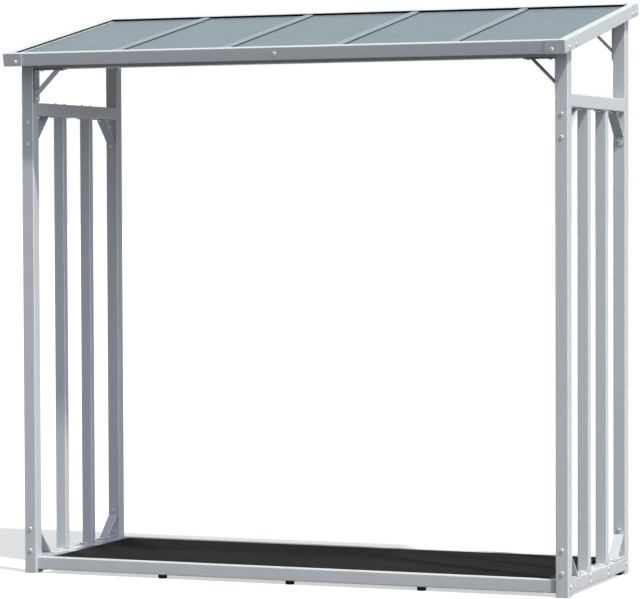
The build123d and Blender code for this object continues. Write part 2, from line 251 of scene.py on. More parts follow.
@dataclass(frozen=True)
class PowderCoat(Finish):
    """Satin powder coat with orange peel, slow tone changes, faint runs, worn edges that also carry a painted
    highlight, and painted shade in seams.
    """

    roughness: float = 0.45
    grime: Triple = (0.2, 0.17, 0.14)
    shade_colour: Triple = (0.03, 0.03, 0.032)

    def paint(self, graph: ShaderGraph) -> None:
        """Tone from cloud, runs and fleck; lighter on worn edges, partly as a painted highlight; grime near
        the ground; painted shade in seams.

        Args:
            graph: the material's empty tree.
        """
        cloud = graph.noise(4.0, 3.0)
        runs = graph.noise(30.0, 4.0, (1.0, 1.0, 0.05))
        fleck = graph.noise(1500.0, 1.0)
        peel = graph.noise(420.0, 2.0)
        tone = 0.95 + 0.07 * cloud + 0.05 * (runs - 0.5) + 0.05 * (fleck - 0.5)
        # Worn edges are lighter and more metallic: partly wear, and partly a painted highlight on lit edges.
        wear_and_highlight = graph.mask(graph.edge() + 0.7 * (graph.noise(90.0, 4.0) - 0.5), 0.72, 1.0)
        low_down = graph.mask(graph.height() + 0.12 * (graph.noise(18.0, 4.0) - 0.5), 0.1, -0.03)
        # Painted shade: near black where the wear is below nothing, on bracket rims and strut backs.
        seam = graph.mask(graph.edge() + 0.6 * (graph.noise(45.0, 5.0) - 0.5), -0.25, -0.75)
        bare = tuple(min(1.0, 1.35 * part + 0.05) for part in self.colour)
        coat = graph.mix(0.55 * wear_and_highlight, graph.toned(self.colour, tone), bare)
        coat = graph.mix(0.1 * low_down, coat, self.grime)
        uneven = 0.12 * (cloud - 0.5) + 0.1 * (fleck - 0.5)
        graph.surface(
            Base_Color=graph.mix(0.92 * seam, coat, self.shade_colour),
            Metallic=0.35 * wear_and_highlight,
            Roughness=self.roughness + uneven - 0.08 * wear_and_highlight + 0.2 * low_down,
            Normal=graph.bump(peel + 0.25 * fleck, 0.22, 0.12),
        )


@dataclass(frozen=True)
class ZincPlate(Finish):
    """Zinc flake on steel, with a fine crystal grain, dull patches and painted shade in the corners."""

    metallic: float = 0.5
    dull: Triple = (0.4, 0.41, 0.43)
    bright: Triple = (0.85, 0.85, 0.86)
    shade_colour: Triple = (0.03, 0.03, 0.032)

    def paint(self, graph: ShaderGraph) -> None:
        """Tone from a cell grain; dull patches are rougher; edges are bright if worn, and dark and rougher
        where shade is painted.

        Args:
            graph: the material's empty tree.
        """
        crystals = {"Vector": graph.place(), "Scale": 900.0}
        grain = graph.node("ShaderNodeTexVoronoi", inputs=crystals, output="Color")
        cell = graph.node("ShaderNodeSeparateColor", inputs={0: grain})
        patch = graph.mask(graph.noise(160.0, 4.0), 0.42, 0.72)
        # Painted shade: darker and rougher where the wear is below nothing, under heads, in sockets, nut
        # bores and between thread ridges.
        shade_mask = graph.mask(graph.edge(), 0.0, -0.8)
        plate = graph.mix(0.3 * patch, graph.toned(self.colour, 0.9 + 0.14 * cell), self.dull)
        plate = graph.mix(0.4 * graph.mask(graph.edge(), 0.1, 0.9), plate, self.bright)
        graph.surface(
            Base_Color=graph.mix(0.88 * shade_mask, plate, self.shade_colour),
            Metallic=self.metallic,
            Roughness=0.3 + 0.2 * patch + 0.08 * cell + 0.3 * shade_mask,
            Normal=graph.bump(graph.noise(1400.0, 3.0), 0.2, 0.05),
        )


@dataclass(frozen=True)
class PanelSheet(Finish):
    """Matte sheet with a fine drawn grain along the slope, soft mottling and patches of dust."""

    dust: Triple = (0.55, 0.55, 0.52)

    def paint(self, graph: ShaderGraph) -> None:
        """Tone from mottling and from grain drawn out along Y; dust is paler and rougher.

        Args:
            graph: the material's empty tree.
        """
        mottle = graph.noise(6.0, 5.0)
        drawn = graph.noise(260.0, 3.0, (1.0, 0.02, 0.02))
        speck = graph.noise(900.0, 2.0)
        tone = 0.92 + 0.1 * mottle + 0.06 * (drawn - 0.5) + 0.05 * (speck - 0.5)
        dusty = graph.mask(graph.noise(14.0, 6.0), 0.5, 0.75)
        graph.surface(
            Base_Color=graph.mix(0.06 * dusty, graph.toned(self.colour, tone), self.dust),
            Roughness=0.6 + 0.15 * dusty + 0.1 * (drawn - 0.5),
            Specular_IOR_Level=0.35,
            Normal=graph.bump(drawn + 0.6 * speck, 0.25, 0.06),
        )


@dataclass(frozen=True)
class DrawnBar(Finish):
    """Drawn bar with die lines along its length, dulled by a thin film."""

    metallic: float = 0.1
    bright: Triple = (0.62, 0.65, 0.68)

    def paint(self, graph: ShaderGraph) -> None:
        """Die lines are noise drawn out along the bar; rubbed edges are brighter.

        Args:
            graph: the material's empty tree.
        """
        lines = graph.noise(900.0, 3.0, (1.0, 0.006, 0.006))
        film = graph.noise(9.0, 4.0)
        bar = graph.toned(self.colour, 0.88 + 0.14 * lines + 0.08 * film)
        graph.surface(
            Base_Color=graph.mix(0.3 * graph.edge(), bar, self.bright),
            Metallic=self.metallic,
            Roughness=0.42 + 0.16 * (film - 0.5) + 0.12 * (lines - 0.5),
            Normal=graph.bump(lines, 0.2, 0.05),
        )


@dataclass(frozen=True)
class BlackRubber(Finish):
    """Moulded black rubber with a fine skin, greyed where dust has settled."""

    dusty: float = 0.25
    specular: float = 0.5
    dust: Triple = (0.12, 0.115, 0.11)

    def paint(self, graph: ShaderGraph) -> None:
        """Bloom and dust are paler patches of noise; the skin is fine noise in the bump.

        Args:
            graph: the material's empty tree.
        """
        skin = graph.noise(1100.0, 3.0)
        bloom = graph.mask(graph.noise(45.0, 5.0), 0.45, 0.8)
        graph.surface(
            Base_Color=graph.mix(self.dusty * (bloom + 0.6 * graph.edge()), self.colour, self.dust),
            Roughness=0.62 + 0.2 * bloom + 0.1 * (skin - 0.5),
            Specular_IOR_Level=self.specular,
            Normal=graph.bump(skin, 0.3, 0.08),
        )


@dataclass(frozen=True)
class BlackCoatAndShade(Finish):
    """Matte near-black coat on sheet, with fine texture, long scuffs and dust; its darkness is partly the
    sheet's colour and partly painted shade.
    """

    dust: Triple = (0.1, 0.098, 0.095)
    bare: Triple = (0.2, 0.2, 0.2)

    def paint(self, graph: ShaderGraph) -> None:
        """Scuffs are thin bands of noise drawn out along X; dust is slow noise; texture is in the bump.

        Args:
            graph: the material's empty tree.
        """
        texture = graph.noise(700.0, 3.0)
        drawn = graph.noise(160.0, 4.0, (0.03, 1.0, 1.0))
        scuff = graph.mask(drawn, 0.62, 0.74) * graph.mask(graph.noise(7.0, 3.0), 0.45, 0.7)
        dusty = graph.mask(graph.noise(5.0, 6.0), 0.4, 0.8)
        coat = graph.mix(0.08 * dusty, self.colour, self.dust)
        graph.surface(
            Base_Color=graph.mix(0.2 * scuff | 0.3 * graph.edge(), coat, self.bare),
            Roughness=0.76 + 0.14 * dusty - 0.12 * scuff,
            Specular_IOR_Level=0.01,
            Normal=graph.bump(texture - 0.4 * scuff, 0.3, 0.08),
        )


SILVER = (0.51, 0.535, 0.585)
FRAME_COAT = PowderCoat("frame_silver_coat", "frame_paint", SILVER)
ROOF_COAT = PowderCoat("roof_silver_coat", "roof_paint", SILVER)
PANEL_SHEET = PanelSheet("roof_sheet_matte", "panel_sheet", (0.142, 0.186, 0.225))
JOINT_BAR = DrawnBar("joint_bar_dull", "joint_bar", (0.166, 0.217, 0.264))
SEAL_RUBBER = BlackRubber("seal_black_rubber", "seal_rubber", (0.003, 0.003, 0.003), 0.03, 0.06)
FOOT_RUBBER = BlackRubber("foot_black_rubber", "foot_rubber", (0.006, 0.006, 0.006), 0.1, 0.08)
# The floor's near-black tone is partly the sheet's colour and partly painted shade.
FLOOR_COAT_AND_SHADE = BlackCoatAndShade("floor_black_coat_and_shade", "floor_paint", (0.008, 0.008, 0.009))
ZINC = ZincPlate("bolt_zinc", "zinc_steel", (0.6, 0.6, 0.61))


# Surfaces


@dataclass
class Surface:
    """Closed skins: points in millimetres, four-sided faces, and the wear of each point, which is below
    nothing where shade is painted.
    """

    points: Array
    faces: Array
    edge: Array

    @classmethod
    def grid(cls, points: Array, edge: Array | float = 0.0, ends: Ends = Ends.POINT) -> "Surface":
        """Skin a grid of points whose last column joins its first.

        Args:
            points: rows by columns by 3.
            edge: wear, in any shape that spreads over rows by columns.
            ends: how the first and last row are finished.

        Returns:
            The skin, with its faces turned outward.
        """
        worn = np.broadcast_to(edge, points.shape[:2])
        if ends is Ends.POINT:
            middles = np.broadcast_to(points[[0, -1]].mean(1, keepdims=True), (2, *points.shape[1:]))
            points = np.concatenate([middles[:1], points, middles[1:]])
            worn = np.pad(worn, ((1, 1), (0, 0)))
        rows, cols = points.shape[:2]
        row = np.arange(rows if ends is Ends.JOINED else rows - 1)[:, None]
        col = np.arange(cols)[None, :]
        next_row, next_col = (row + 1) % rows * cols, (col + 1) % cols
        corners = (row * cols + col, row * cols + next_col, next_row + next_col, next_row + col)
        faces = np.stack(np.broadcast_arrays(*corners), -1).reshape(-1, 4)
        return cls(points.reshape(-1, 3), faces, worn.reshape(-1)).outward()

    def outward(self) -> "Surface":
        """Turn the faces so that the volume they enclose, summed from the middle, is positive.

        Returns:
            The surface itself.
        """
        p = (self.points - self.points.mean(0))[self.faces]
        first = np.einsum("ij,ij->i", p[:, 0], np.cross(p[:, 1], p[:, 2]))
        second = np.einsum("ij,ij->i", p[:, 0], np.cross(p[:, 2], p[:, 3]))
        if (first + second).sum() < 0:
            self.faces = self.faces[:, ::-1]
        return self

    def mapped(self, place: Place) -> "Surface":
        """The same skin with its points moved by a function."""
        return Surface(place(self.points), self.faces, self.edge).outward()

    def mirrored(self) -> "Surface":
        """The same skin on the other side of the rack."""
        return self.mapped(lambda points: points * [-1, 1, 1])

    def repeated(self, origins: Array, axes: Array) -> "Surface":
        """Copies of the skin.

        Args:
            origins: copies by 3, where the skin's own origin goes.
            axes: copies by 3 by 3, whose rows are where the skin's X, Y and Z point.

        Returns:
            All the copies as one surface.
        """
        copies, count = len(origins), len(self.points)
        points = origins[:, None] + np.einsum("mk,nkc->nmc", self.points, axes)
        faces = self.faces[None] + count * np.arange(copies)[:, None, None]
        return Surface(points.reshape(-1, 3), faces.reshape(-1, 4), np.tile(self.edge, copies))


def joined(parts: Sequence[Surface]) -> Surface:
    """Several surfaces as one, with their face numbers moved on.

    Args:
        parts: the surfaces.

    Returns:
        One surface.
    """
    starts = np.cumsum([0, *(len(part.points) for part in parts[:-1])])
    return Surface(
        np.concatenate([part.points for part in parts]),
        np.concatenate([part.faces + start for part, start in zip(parts, starts)]),
        np.concatenate([part.edge for part in parts]),
    )


def unit(vectors: Array) -> Array:
    """Vectors of length 1."""
    return vectors / np.linalg.norm(vectors, axis=-1, keepdims=True)


def circle(angle: Array) -> Array:
    """Points at these angles on a circle of radius 1."""
    return np.stack([np.cos(angle), np.sin(angle)], -1)


def rounded_loops(half: Array, radius: Array, steps: int = 5) -> tuple[Array, Array]:
    """Rounded rectangles: each corner is an arc about a centre at half the size less the radius.

    A point on the flat next to either end of an arc keeps the flat's shading true.

    Args:
        half: rows by 2, half sizes.
        radius: corner radius of each row.
        steps: parts of each arc.

    Returns:
        Rows by columns by 2 points, and the wear of each column, greatest in the middle of an arc.
    """
    turn = np.pad(np.linspace(0.0, np.pi / 2, steps + 1), 1, "edge")
    beside = np.concatenate([[-1.0], np.zeros(steps + 1), [1.0]])
    quarter = np.repeat(np.arange(4), len(turn)) * np.pi / 2
    angle = quarter + np.tile(turn, 4)
    arc_share, flat_share = 0.3, 0.6
    flat = half - radius[:, None]
    hold = np.minimum(arc_share * radius[:, None], flat_share * flat)[:, None] * np.tile(beside, 4)[:, None]
    centres = np.sign(circle(quarter + np.pi / 4)) * flat[:, None]
    points = centres + radius[:, None, None] * circle(angle) + hold * circle(angle + np.pi / 2)
    return points, np.tile(np.sin(2 * turn), 4)


def box_loops(
    low: Array, high: Array, axis: int, inset: Array, along: Array, radius: Array
) -> tuple[Array, Array]:
    """Rounded rectangles of a box, square to one of its axes.

    Args:
        low: lowest corner of the box.
        high: highest corner.
        axis: the axis that runs through the rectangles.
        inset: how far each is drawn in from the box.
        along: place of each on the axis.
        radius: corner radius of each.

    Returns:
        Rows by columns by 3 points, and the wear of each column.
    """
    across = [(axis + 1) % 3, (axis + 2) % 3]
    loops, worn = rounded_loops((high - low)[across] / 2 - inset[:, None], radius)
    points = np.empty((*loops.shape[:2], 3))
    points[..., across] = (low + high)[across] / 2 + loops
    points[..., axis] = along[:, None]
    return points, worn


def tube(low: Array, high: Array, wall: float, radius: float, lip: float = 0.35) -> Surface:
    """Hollow tube along the longest side of its box.

    The rows go over the rounded lip of the far end, down the bore, over the lip of the near end and back up
    the outer wall. Each row is the rounded outline drawn in by its inset, at its place along the tube. A row
    on the wall beside each lip keeps the wall's shading true.

    Args:
        low: lowest corner of the box.
        high: highest corner.
        wall: wall thickness.
        radius: outer corner radius.
        lip: rounding of the ends.

    Returns:
        The tube's skin.
    """
    axis = int(np.argmax(high - low))
    arc = np.linspace(0.0, np.pi / 2, 4)
    ease, fall = lip * (1 - np.cos(arc)), lip * (1 - np.sin(arc))
    beside, least_radius = [3 * lip], 0.6
    inset = np.concatenate([[0.0], ease, wall - ease[::-1], [wall]])
    drop = np.concatenate([beside, fall, fall[::-1], beside])
    along = np.concatenate([high[axis] - drop, low[axis] + drop[::-1]])
    inset = np.concatenate([inset, inset[::-1]])
    points, worn = box_loops(low, high, axis, inset, along, np.maximum(radius - inset, least_radius))
    lips = np.tile(np.pad(np.tile(np.sin(2 * arc), 2), 1), 2)
    return Surface.grid(points, np.maximum(worn, 0.8 * lips[:, None]), Ends.JOINED)


def slab(low: Sequence[float], high: Sequence[float], axis: int, radius: float, lip: float = 0.3) -> Surface:
    """Solid plate whose outline, square to an axis, is a rounded rectangle and whose rims are eased.

    The rows go over the rim of one face, along the sides and over the other rim. Each is drawn in by its
    inset.

    Args:
        low: lowest corner of the box.
        high: highest corner.
        axis: which axis runs through the plate.
        radius: corner radius of the outline.
        lip: easing of the rims.

    Returns:
        The plate's skin.
    """
    low, high, least_radius = np.asarray(low, float), np.asarray(high, float), 0.05
    rim_in, rim_down = np.array([2.5, 1.0, 0.3, 0.0, 0.0]), np.array([0.0, 0.0, 0.3, 1.0, 1.6])
    rim_wear = np.array([0.0, 0.3, 1.0, 0.3, 0.0])
    inset = lip * np.concatenate([rim_in, rim_in[::-1]])
    along = np.concatenate([low[axis] + lip * rim_down, high[axis] - lip * rim_down[::-1]])
    points, worn = box_loops(low, high, axis, inset, along, np.maximum(radius - inset, least_radius))
    return Surface.grid(points, np.maximum(0.6 * worn, np.tile(rim_wear, 2)[:, None]))


def rounded_path(corners: Outline, radius: float, steps: int = 5) -> tuple[Array, Array]:
    """Line whose inner corners are arcs that touch both runs.

    An arc starts as far before its corner as the radius times the tangent of half the turn. A point on the
    run next to either end of an arc keeps the run's shading true.

    Args:
        corners: points of the line.
        radius: radius of every bend.
        steps: parts of each bend.

    Returns:
        Points by 2, and their wear, greatest in the middle of a bend.
    """
    p = np.asarray(corners, float)
    way = unit(np.diff(p, axis=0))
    before, after = way[:-1, None], way[1:, None]
    cosine = (before * after).sum(-1, keepdims=True)
    turn = np.arccos(np.clip(cosine, -1, 1))
    side = unit(after - before * cosine)
    share = np.linspace(0, 1, steps + 1)
    theta = turn * share[None, :, None]
    start = p[1:-1, None] - before * radius * np.tan(turn / 2)
    arcs = start + radius * (np.sin(theta) * before + (1 - np.cos(theta)) * side)
    hold = 0.12 * radius
    arcs = np.concatenate([arcs[:, :1] - hold * before, arcs, arcs[:, -1:] + hold * after], 1)
    worn = np.tile(np.pad(np.sin(np.pi * share), 1), len(p) - 2)
    return np.concatenate([p[:1], arcs.reshape(-1, 2), p[-1:]]), np.concatenate([[1.0], worn, [1.0]])


def path_normals(path: Array) -> Array:
    """Unit normals of a line in a plane, to the left of its way."""
    way = unit(np.gradient(path, axis=0))
    return np.stack([-way[:, 1], way[:, 0]], -1)


def folded_sheet(corners: Outline, bend: float, thick: float, span: tuple[float, float]) -> Surface:
    """Sheet folded along a line and carried straight across it.

    The line is widened to both sides by half the thickness, less at its free edges, and the two sides are
    joined across the sheet's ends.

    Args:
        corners: the middle of the sheet, in the plane of the fold.
        bend: bend radius at the middle of the sheet.
        thick: thickness.
        span: where the sheet starts and stops across the fold.

    Returns:
        The skin, with the fold's plane as its X and Y and the span as its Z.
    """
    ease = 0.4
    path, worn = rounded_path(corners, bend)
    first, last = ease * unit(np.stack([path[1] - path[0], path[-2] - path[-1]]))
    path = np.concatenate([path[:1], path[:1] + first, path[1:-1], path[-1:] + last, path[-1:]])
    worn = np.concatenate([[1.0, 0.0], worn[1:-1], [0.0, 1.0]])
    half = np.full(len(path), thick / 2)
    half[[0, -1]] *= 0.5
    offset = path_normals(path) * half[:, None]
    loop = np.concatenate([path + offset, (path - offset)[::-1]])
    worn = np.concatenate([worn, worn[::-1]])
    places = np.array([span[0], span[0] + ease, span[1] - ease, span[1]])[:, None]
    end_wear = np.array([1.0, 0.0, 0.0, 1.0])[:, None]
    points = np.stack(np.broadcast_arrays(loop[:, 0], loop[:, 1], places), -1)
    skin = Surface.grid(points, np.maximum(worn, end_wear), Ends.OPEN)
    left = np.arange(len(path) - 1)
    right = len(loop) - 1 - left
    near = np.stack([left, left + 1, right - 1, right], -1)
    caps = np.concatenate([near, near[:, ::-1] + (len(places) - 1) * len(loop)])
    if skin.faces[0, 0] == 0:
        caps = caps[:, ::-1]
    return Surface(skin.points, np.concatenate([skin.faces, caps]), skin.edge)


def strip(
    path: Array, half_width: Array, thick: float, lip: float, shade_place: PaintedShade, shear: Array | float = 0.0
) -> Surface:
    """Flat strip carried along a line in a plane.

    Each row is a rounded rectangle, as wide as the strip is there, that stands square to the line, or leans
    along it by its shear times the height above the line.

    Args:
        path: points by 2.
        half_width: half the strip's width at each point.
        thick: thickness.
        lip: easing of the long edges.
        shade_place: which faces get wear below nothing, for painted shade.
        shear: lean of each row.

    Returns:
        The skin, with the line's plane as its X and Y and the width as its Z.
    """
    half = np.stack([half_width, np.full(len(path), thick / 2)], -1)
    loops, worn = rounded_loops(half, np.minimum(lip, half_width), steps=3)
    rims = np.abs(loops[..., 0]) > half_width[:, None] - 0.2 * lip
    # Painted shade: the chosen faces get wear below nothing, which the coat darkens.
    shaded_faces = {PaintedShade.NOWHERE: False, PaintedShade.RIMS: rims, PaintedShade.BACK: loops[..., 1] > 0.4 * thick}[shade_place]
    normal = path_normals(path)
    way = np.stack([normal[:, 1], -normal[:, 0]], -1)
    lean = normal + way * np.broadcast_to(shear, (len(path),))[:, None]
    flat = path[:, None] + loops[..., 1:] * lean[:, None]
    return Surface.grid(np.concatenate([flat, loops[..., :1]], -1), np.where(shaded_faces, -1.0, worn))


def bead(start: Sequence[float], stop: Sequence[float], radius: float, pitch: float = 2.2) -> Surface:
    """Weld bead along a straight seam: a round rod whose radius ripples and falls to nothing at both ends.

    Args:
        start: one end of the seam.
        stop: the other end.
        radius: radius of the bead.
        pitch: length of a ripple.

    Returns:
        The bead's skin.
    """
    rows, columns, blunt, ripple, helper = 25, 8, 0.12, 0.12, (0.31, 0.47, 0.83)
    start, stop = np.asarray(start, float), np.asarray(stop, float)
    length = np.linalg.norm(stop - start)
    t = (1 - np.cos(np.linspace(blunt, np.pi - blunt, rows))) / 2
    size = radius * np.sqrt(1 - (2 * t - 1) ** 8) * (1 + ripple * np.sin(2 * np.pi * t * length / pitch))
    way = (stop - start) / length
    first = unit(np.cross(way, helper))
    ring = circle(np.linspace(0, 2 * np.pi, columns + 1)[:-1]) @ np.stack([first, np.cross(way, first)])
    return Surface.grid(start + (stop - start) * t[:, None, None] + size[:, None, None] * ring)


def turned(
    rows: Sequence[Triple],
    columns: int,
    flutes: tuple[int, float] = (0, 0.0),
    flat: float = 0.0,
    cut: slice = slice(0),
) -> Surface:
    """Turned shape about its Z axis, with a six-sided part.

    A row's radius is that of a circle, or the lesser of the circle and a hexagon of the given half width
    across flats, and the outer rows are rippled by the flutes.

    Args:
        rows: radius, height and wear of each row.
        columns: points round the shape.
        flutes: number of ripples and their depth as a share of the radius.
        flat: half the width across the hexagon's flats.
        cut: which rows are cut to the hexagon.

    Returns:
        The skin.
    """
    radius, height, worn = (np.array(column, float)[:, None] for column in zip(*rows))
    angle = np.linspace(0, 2 * np.pi, columns + 1)[:-1]
    r = np.repeat(radius, columns, 1)
    r[cut] = np.minimum(r[cut], flat / np.cos(np.mod(angle, np.pi / 3) - np.pi / 6))
    outer = radius > 0.9 * radius.max()
    r *= 1 + flutes[1] * np.cos(flutes[0] * angle) * outer
    points = np.stack([r * np.cos(angle), r * np.sin(angle), np.broadcast_to(height, r.shape)], -1)
    return Surface.grid(points, worn)


def axes_along(ways: Array) -> Array:
    """Right-handed axes whose third row is each way and whose first is square to it and to a helper.

    Args:
        ways: rows by 3, of length 1.

    Returns:
        Rows by 3 by 3.
    """
    steep = 0.9
    helper = np.where(np.abs(ways[:, 2:]) < steep, [[0.0, 0.0, 1.0]], [[0.0, 1.0, 0.0]])
    first = unit(np.cross(helper, ways))
    return np.stack([first, np.cross(ways, first), ways], 1)


# Pieces


def linked(name: str, data: bpy.types.ID) -> bpy.types.Object:
    """A new object in the scene.

    Args:
        name: the object's name.
        data: its mesh, lamp or lens.

    Returns:
        The object.
    """
    made = bpy.data.objects.new(name, data)
    bpy.context.scene.collection.objects.link(made)
    return made


@dataclass
class Piece:
    """A surface that becomes an object, the CAD node that it stands for and its finish."""

    name: str
    surface: Surface
    node: str
    finish: Finish

    def build(self) -> bpy.types.Object:
        """Make the mesh, close its seams, and let the object ride and stand for its node.

        Returns:
            The object.
        """
        weld, sliver, crease = 2e-6, 1e-7, math.radians(38)
        mesh = bpy.data.meshes.new(self.name)
        mesh.from_pydata((self.surface.points * MM).tolist(), [], self.surface.faces.tolist())
        edge = mesh.attributes.new("edge", "FLOAT", "POINT")
        edge.data.foreach_set("value", self.surface.edge.astype(np.float32))
        work = bmesh.new()
        work.from_mesh(mesh)
        bmesh.ops.remove_doubles(work, verts=work.verts, dist=weld)
        bmesh.ops.dissolve_degenerate(work, edges=work.edges, dist=sliver)
        work.to_mesh(mesh)
        work.free()
        mesh.shade_smooth()
        mesh.set_sharp_from_angle(angle=crease)
        made = linked(self.name, mesh)
        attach(made, "root")
        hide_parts(self.node)
        return made

    def dress(self, made: bpy.types.Object) -> None:
        """Give the object its finish."""
        made.data.materials.append(self.finish.material())


class SubAssembly:
    """A group of pieces that is built and dressed together."""

    def pieces(self) -> Iterator[Piece]:
        """The group's pieces."""
        raise NotImplementedError

    def build(self) -> None:
        """Build and dress every piece, and report it."""
        for piece in self.pieces():
            made = piece.build()
            piece.dress(made)
            log.info("%s: %d faces, %s", piece.name, len(made.data.polygons), piece.finish.name)


def node_box(node: str) -> tuple[Array, Array]:
    """Lowest and highest corner of a CAD node, in millimetres."""
    low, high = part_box(node)
    return np.array(low) / MM, np.array(high) / MM


# Layout


@dataclass(frozen=True)
class Layout:
    """Places that several sub-assemblies share."""

    half_width: float = 905.0
    depth: float = 650.0
    post: float = 40.0
    cross_rail: float = 30.0
    upper_rail_bottom: float = 1459.0
    rail_height: float = 40.0
    lower_rail_top: float = 52.0
    slope: float = math.radians(11.3)
    eave: float = 1650.0
    overhang: float = 90.0
    rear_overhang: float = 35.0
    roof_rail: float = 40.0
    box_width: float = 20.0
    flange: float = 25.0
    sheet: float = 1.5
    front_face: float = 3.0
    ledge: float = 14.0
    panel_drop: float = 10.0
    beam_depth: float = 17.0
    beam_gap: float = 8.0

    @property
    def run(self) -> float:
        """Level depth of the roof."""
        return self.overhang + self.depth + self.rear_overhang

    @property
    def roof_length(self) -> float:
        """Length of the roof up its slope."""
        return self.run / math.cos(self.slope)

    @property
    def roof_front(self) -> float:
        """Y of the roof's foremost top edge."""
        return -(self.run + self.roof_rail * math.sin(self.slope)) / 2

    @property
    def down_slope(self) -> Triple:
        """Way down the slope, out of the roof's front."""
        return 0.0, -math.cos(self.slope), -math.sin(self.slope)

    @property
    def outer_x(self) -> float:
        """Outer face of the side roof rails."""
        return self.half_width + self.box_width

    @property
    def inner_x(self) -> float:
        """Inner face of the posts."""
        return self.half_width - self.post

    @property
    def side_x(self) -> float:
        """Middle of the posts and side rails."""
        return self.half_width - self.post / 2

    def post_face(self, end: End) -> float:
        """Y of the posts' outer face at an end."""
        return self.roof_front + self.overhang + (self.depth if end is End.REAR else 0.0)

    def inner_face(self, end: End) -> float:
        """Y of the posts' inner face at an end."""
        return self.post_face(end) - end.value * self.post

    def cross_y(self, end: End) -> float:
        """Middle of the cross rails at an end."""
        return self.inner_face(end) + end.value * self.cross_rail / 2

    def slat_y(self) -> Array:
        """Middles of the slats, which part the inner depth in three."""
        front, rear = self.inner_face(End.FRONT), self.inner_face(End.REAR)
        return front + (rear - front) * np.array([1, 2]) / 3

    def beam_bottom(self, end: End) -> float:
        """Underside of the top beam at an end, which stays clear of the roof above its front edge.

        Args:
            end: which of the two beams.

        Returns:
            The height of its underside.
        """
        y = self.inner_face(end) - (self.cross_rail if end is End.FRONT else 0.0)
        roof = self.eave + (y - self.roof_front) * math.tan(self.slope)
        return roof - self.beam_depth / math.cos(self.slope) - self.beam_gap - self.rail_height

    def roof_place(self, points: Array) -> Array:
        """Points of the roof in space.

        Args:
            points: x, place up the slope and depth below the roof's top, in the last axis.

        Returns:
            Points in space, in the same shape.
        """
        x, along, depth = np.moveaxis(points, -1, 0)
        y = self.roof_front + along * math.cos(self.slope) + depth * math.sin(self.slope)
        return np.stack([x, y, self.eave + along * math.sin(self.slope) - depth * math.cos(self.slope)], -1)

    def roof_corners(self) -> Array:
        """Inner corner, way along the beam and way down the post of each roof bracket on the right."""
        points = [(self.inner_x, self.cross_y(end), self.beam_bottom(end)) for end in End]
        return np.array([(point, (-1, 0, 0), (0, 0, -1)) for point in points], float)

    def panel_corners(self) -> Array:
        """Inner corner, way along the rail and way along the post of each side bracket on the right.

        Returns:
            Brackets by 3 by 3.
        """
        levels = ((self.upper_rail_bottom, -1), (self.lower_rail_top, 1))
        corners = [
            ((self.side_x, self.inner_face(end), level), (0, -end.value, 0), (0, 0, way))
            for end in End
            for level, way in levels
        ]
        return np.array(corners, float)


LAYOUT = Layout()


# Sub-assemblies of the rack


@dataclass
class TubeFrame(SubAssembly):
    """Posts, side rails, cross rails, top beams and floor bars, all of rounded tube."""

    wall: float = 1.5
    radius: float = 3.0
    finish: Finish = FRAME_COAT
    nodes: tuple[str, ...] = (
        *(f"{end}_{side}_post" for end in ("front", "rear") for side in ("left", "right")),
        *(f"{side}_{level}_rail" for side in ("left", "right") for level in ("upper", "lower")),
        *(f"{end}_{kind}" for end in ("front", "rear") for kind in ("lower_rail", "top_beam")),
        "floor_bar_1",
        "floor_bar_2",
    )

    def pieces(self) -> Iterator[Piece]:
        """One tube for each node, in the node's box."""
        for node in self.nodes:
            yield Piece(f"{node}_tube", tube(*node_box(node), self.wall, self.radius), node, self.finish)


@dataclass
class Slats(SubAssembly):
    """Upright slats, each a tube between two plates, with welds round its ends."""

    width: float = 36.0
    depth: float = 26.0
    plate_width: float = 30.0
    plate_thick: float = 3.0
    plate_corner: float = 6.0
    wall: float = 1.5
    radius: float = 3.0
    weld: float = 1.7
    finish: Finish = FRAME_COAT

    def slat(self, node: str) -> Surface:
        """Tube, plates and welds of one slat.

        Args:
            node: the slat's CAD node.

        Returns:
            The slat's skin.
        """
        low, high = node_box(node)
        middle = (low + high)[:2] / 2
        half = np.array([self.width, self.depth]) / 2
        left, right = middle[0] - self.plate_width / 2, middle[0] + self.plate_width / 2
        bottom, top = low[2] + self.plate_thick, high[2] - self.plate_thick
        corners = (np.array([*(middle + way * half), z]) for way, z in ((-1, bottom), (1, top)))
        parts = [tube(*corners, self.wall, self.radius)]
        for foot, seam in ((low[2], bottom), (top, top)):
            plate_top = foot + self.plate_thick
            parts.append(slab((left, low[1], foot), (right, high[1], plate_top), 2, self.plate_corner))
            for y in (middle[1] - half[1], middle[1] + half[1]):
                parts.append(bead((left, y, seam), (right, y, seam), self.weld))
        return joined(parts)

    def pieces(self) -> Iterator[Piece]:
        """Two slats on each side.

        Returns:
            The pieces, one after another.
        """
        for side in Side:
            for number in (1, 2):
                node = f"{side.name.lower()}_slat_{number}"
                yield Piece(f"{node}_welded", self.slat(node), node, self.finish)


@dataclass
class FloorTray(SubAssembly):
    """Floor sheet with its front and rear edges turned down."""

    thick: float = 2.0
    bend: float = 2.2
    finish: Finish = FLOOR_COAT_AND_SHADE

    def pieces(self) -> Iterator[Piece]:
        """The folded sheet in its node's box.

        Returns:
            The one piece.
        """
        low, high = node_box("floor_panel")
        front, rear, top = low[1] + self.thick / 2, high[1] - self.thick / 2, high[2] - self.thick / 2
        fold = [(front, low[2]), (front, top), (rear, top), (rear, low[2])]
        sheet = folded_sheet(fold, self.bend, self.thick, (low[0], high[0]))
        yield Piece("floor_tray", sheet.mapped(lambda p: p[:, [2, 0, 1]]), "floor_panel", self.finish)


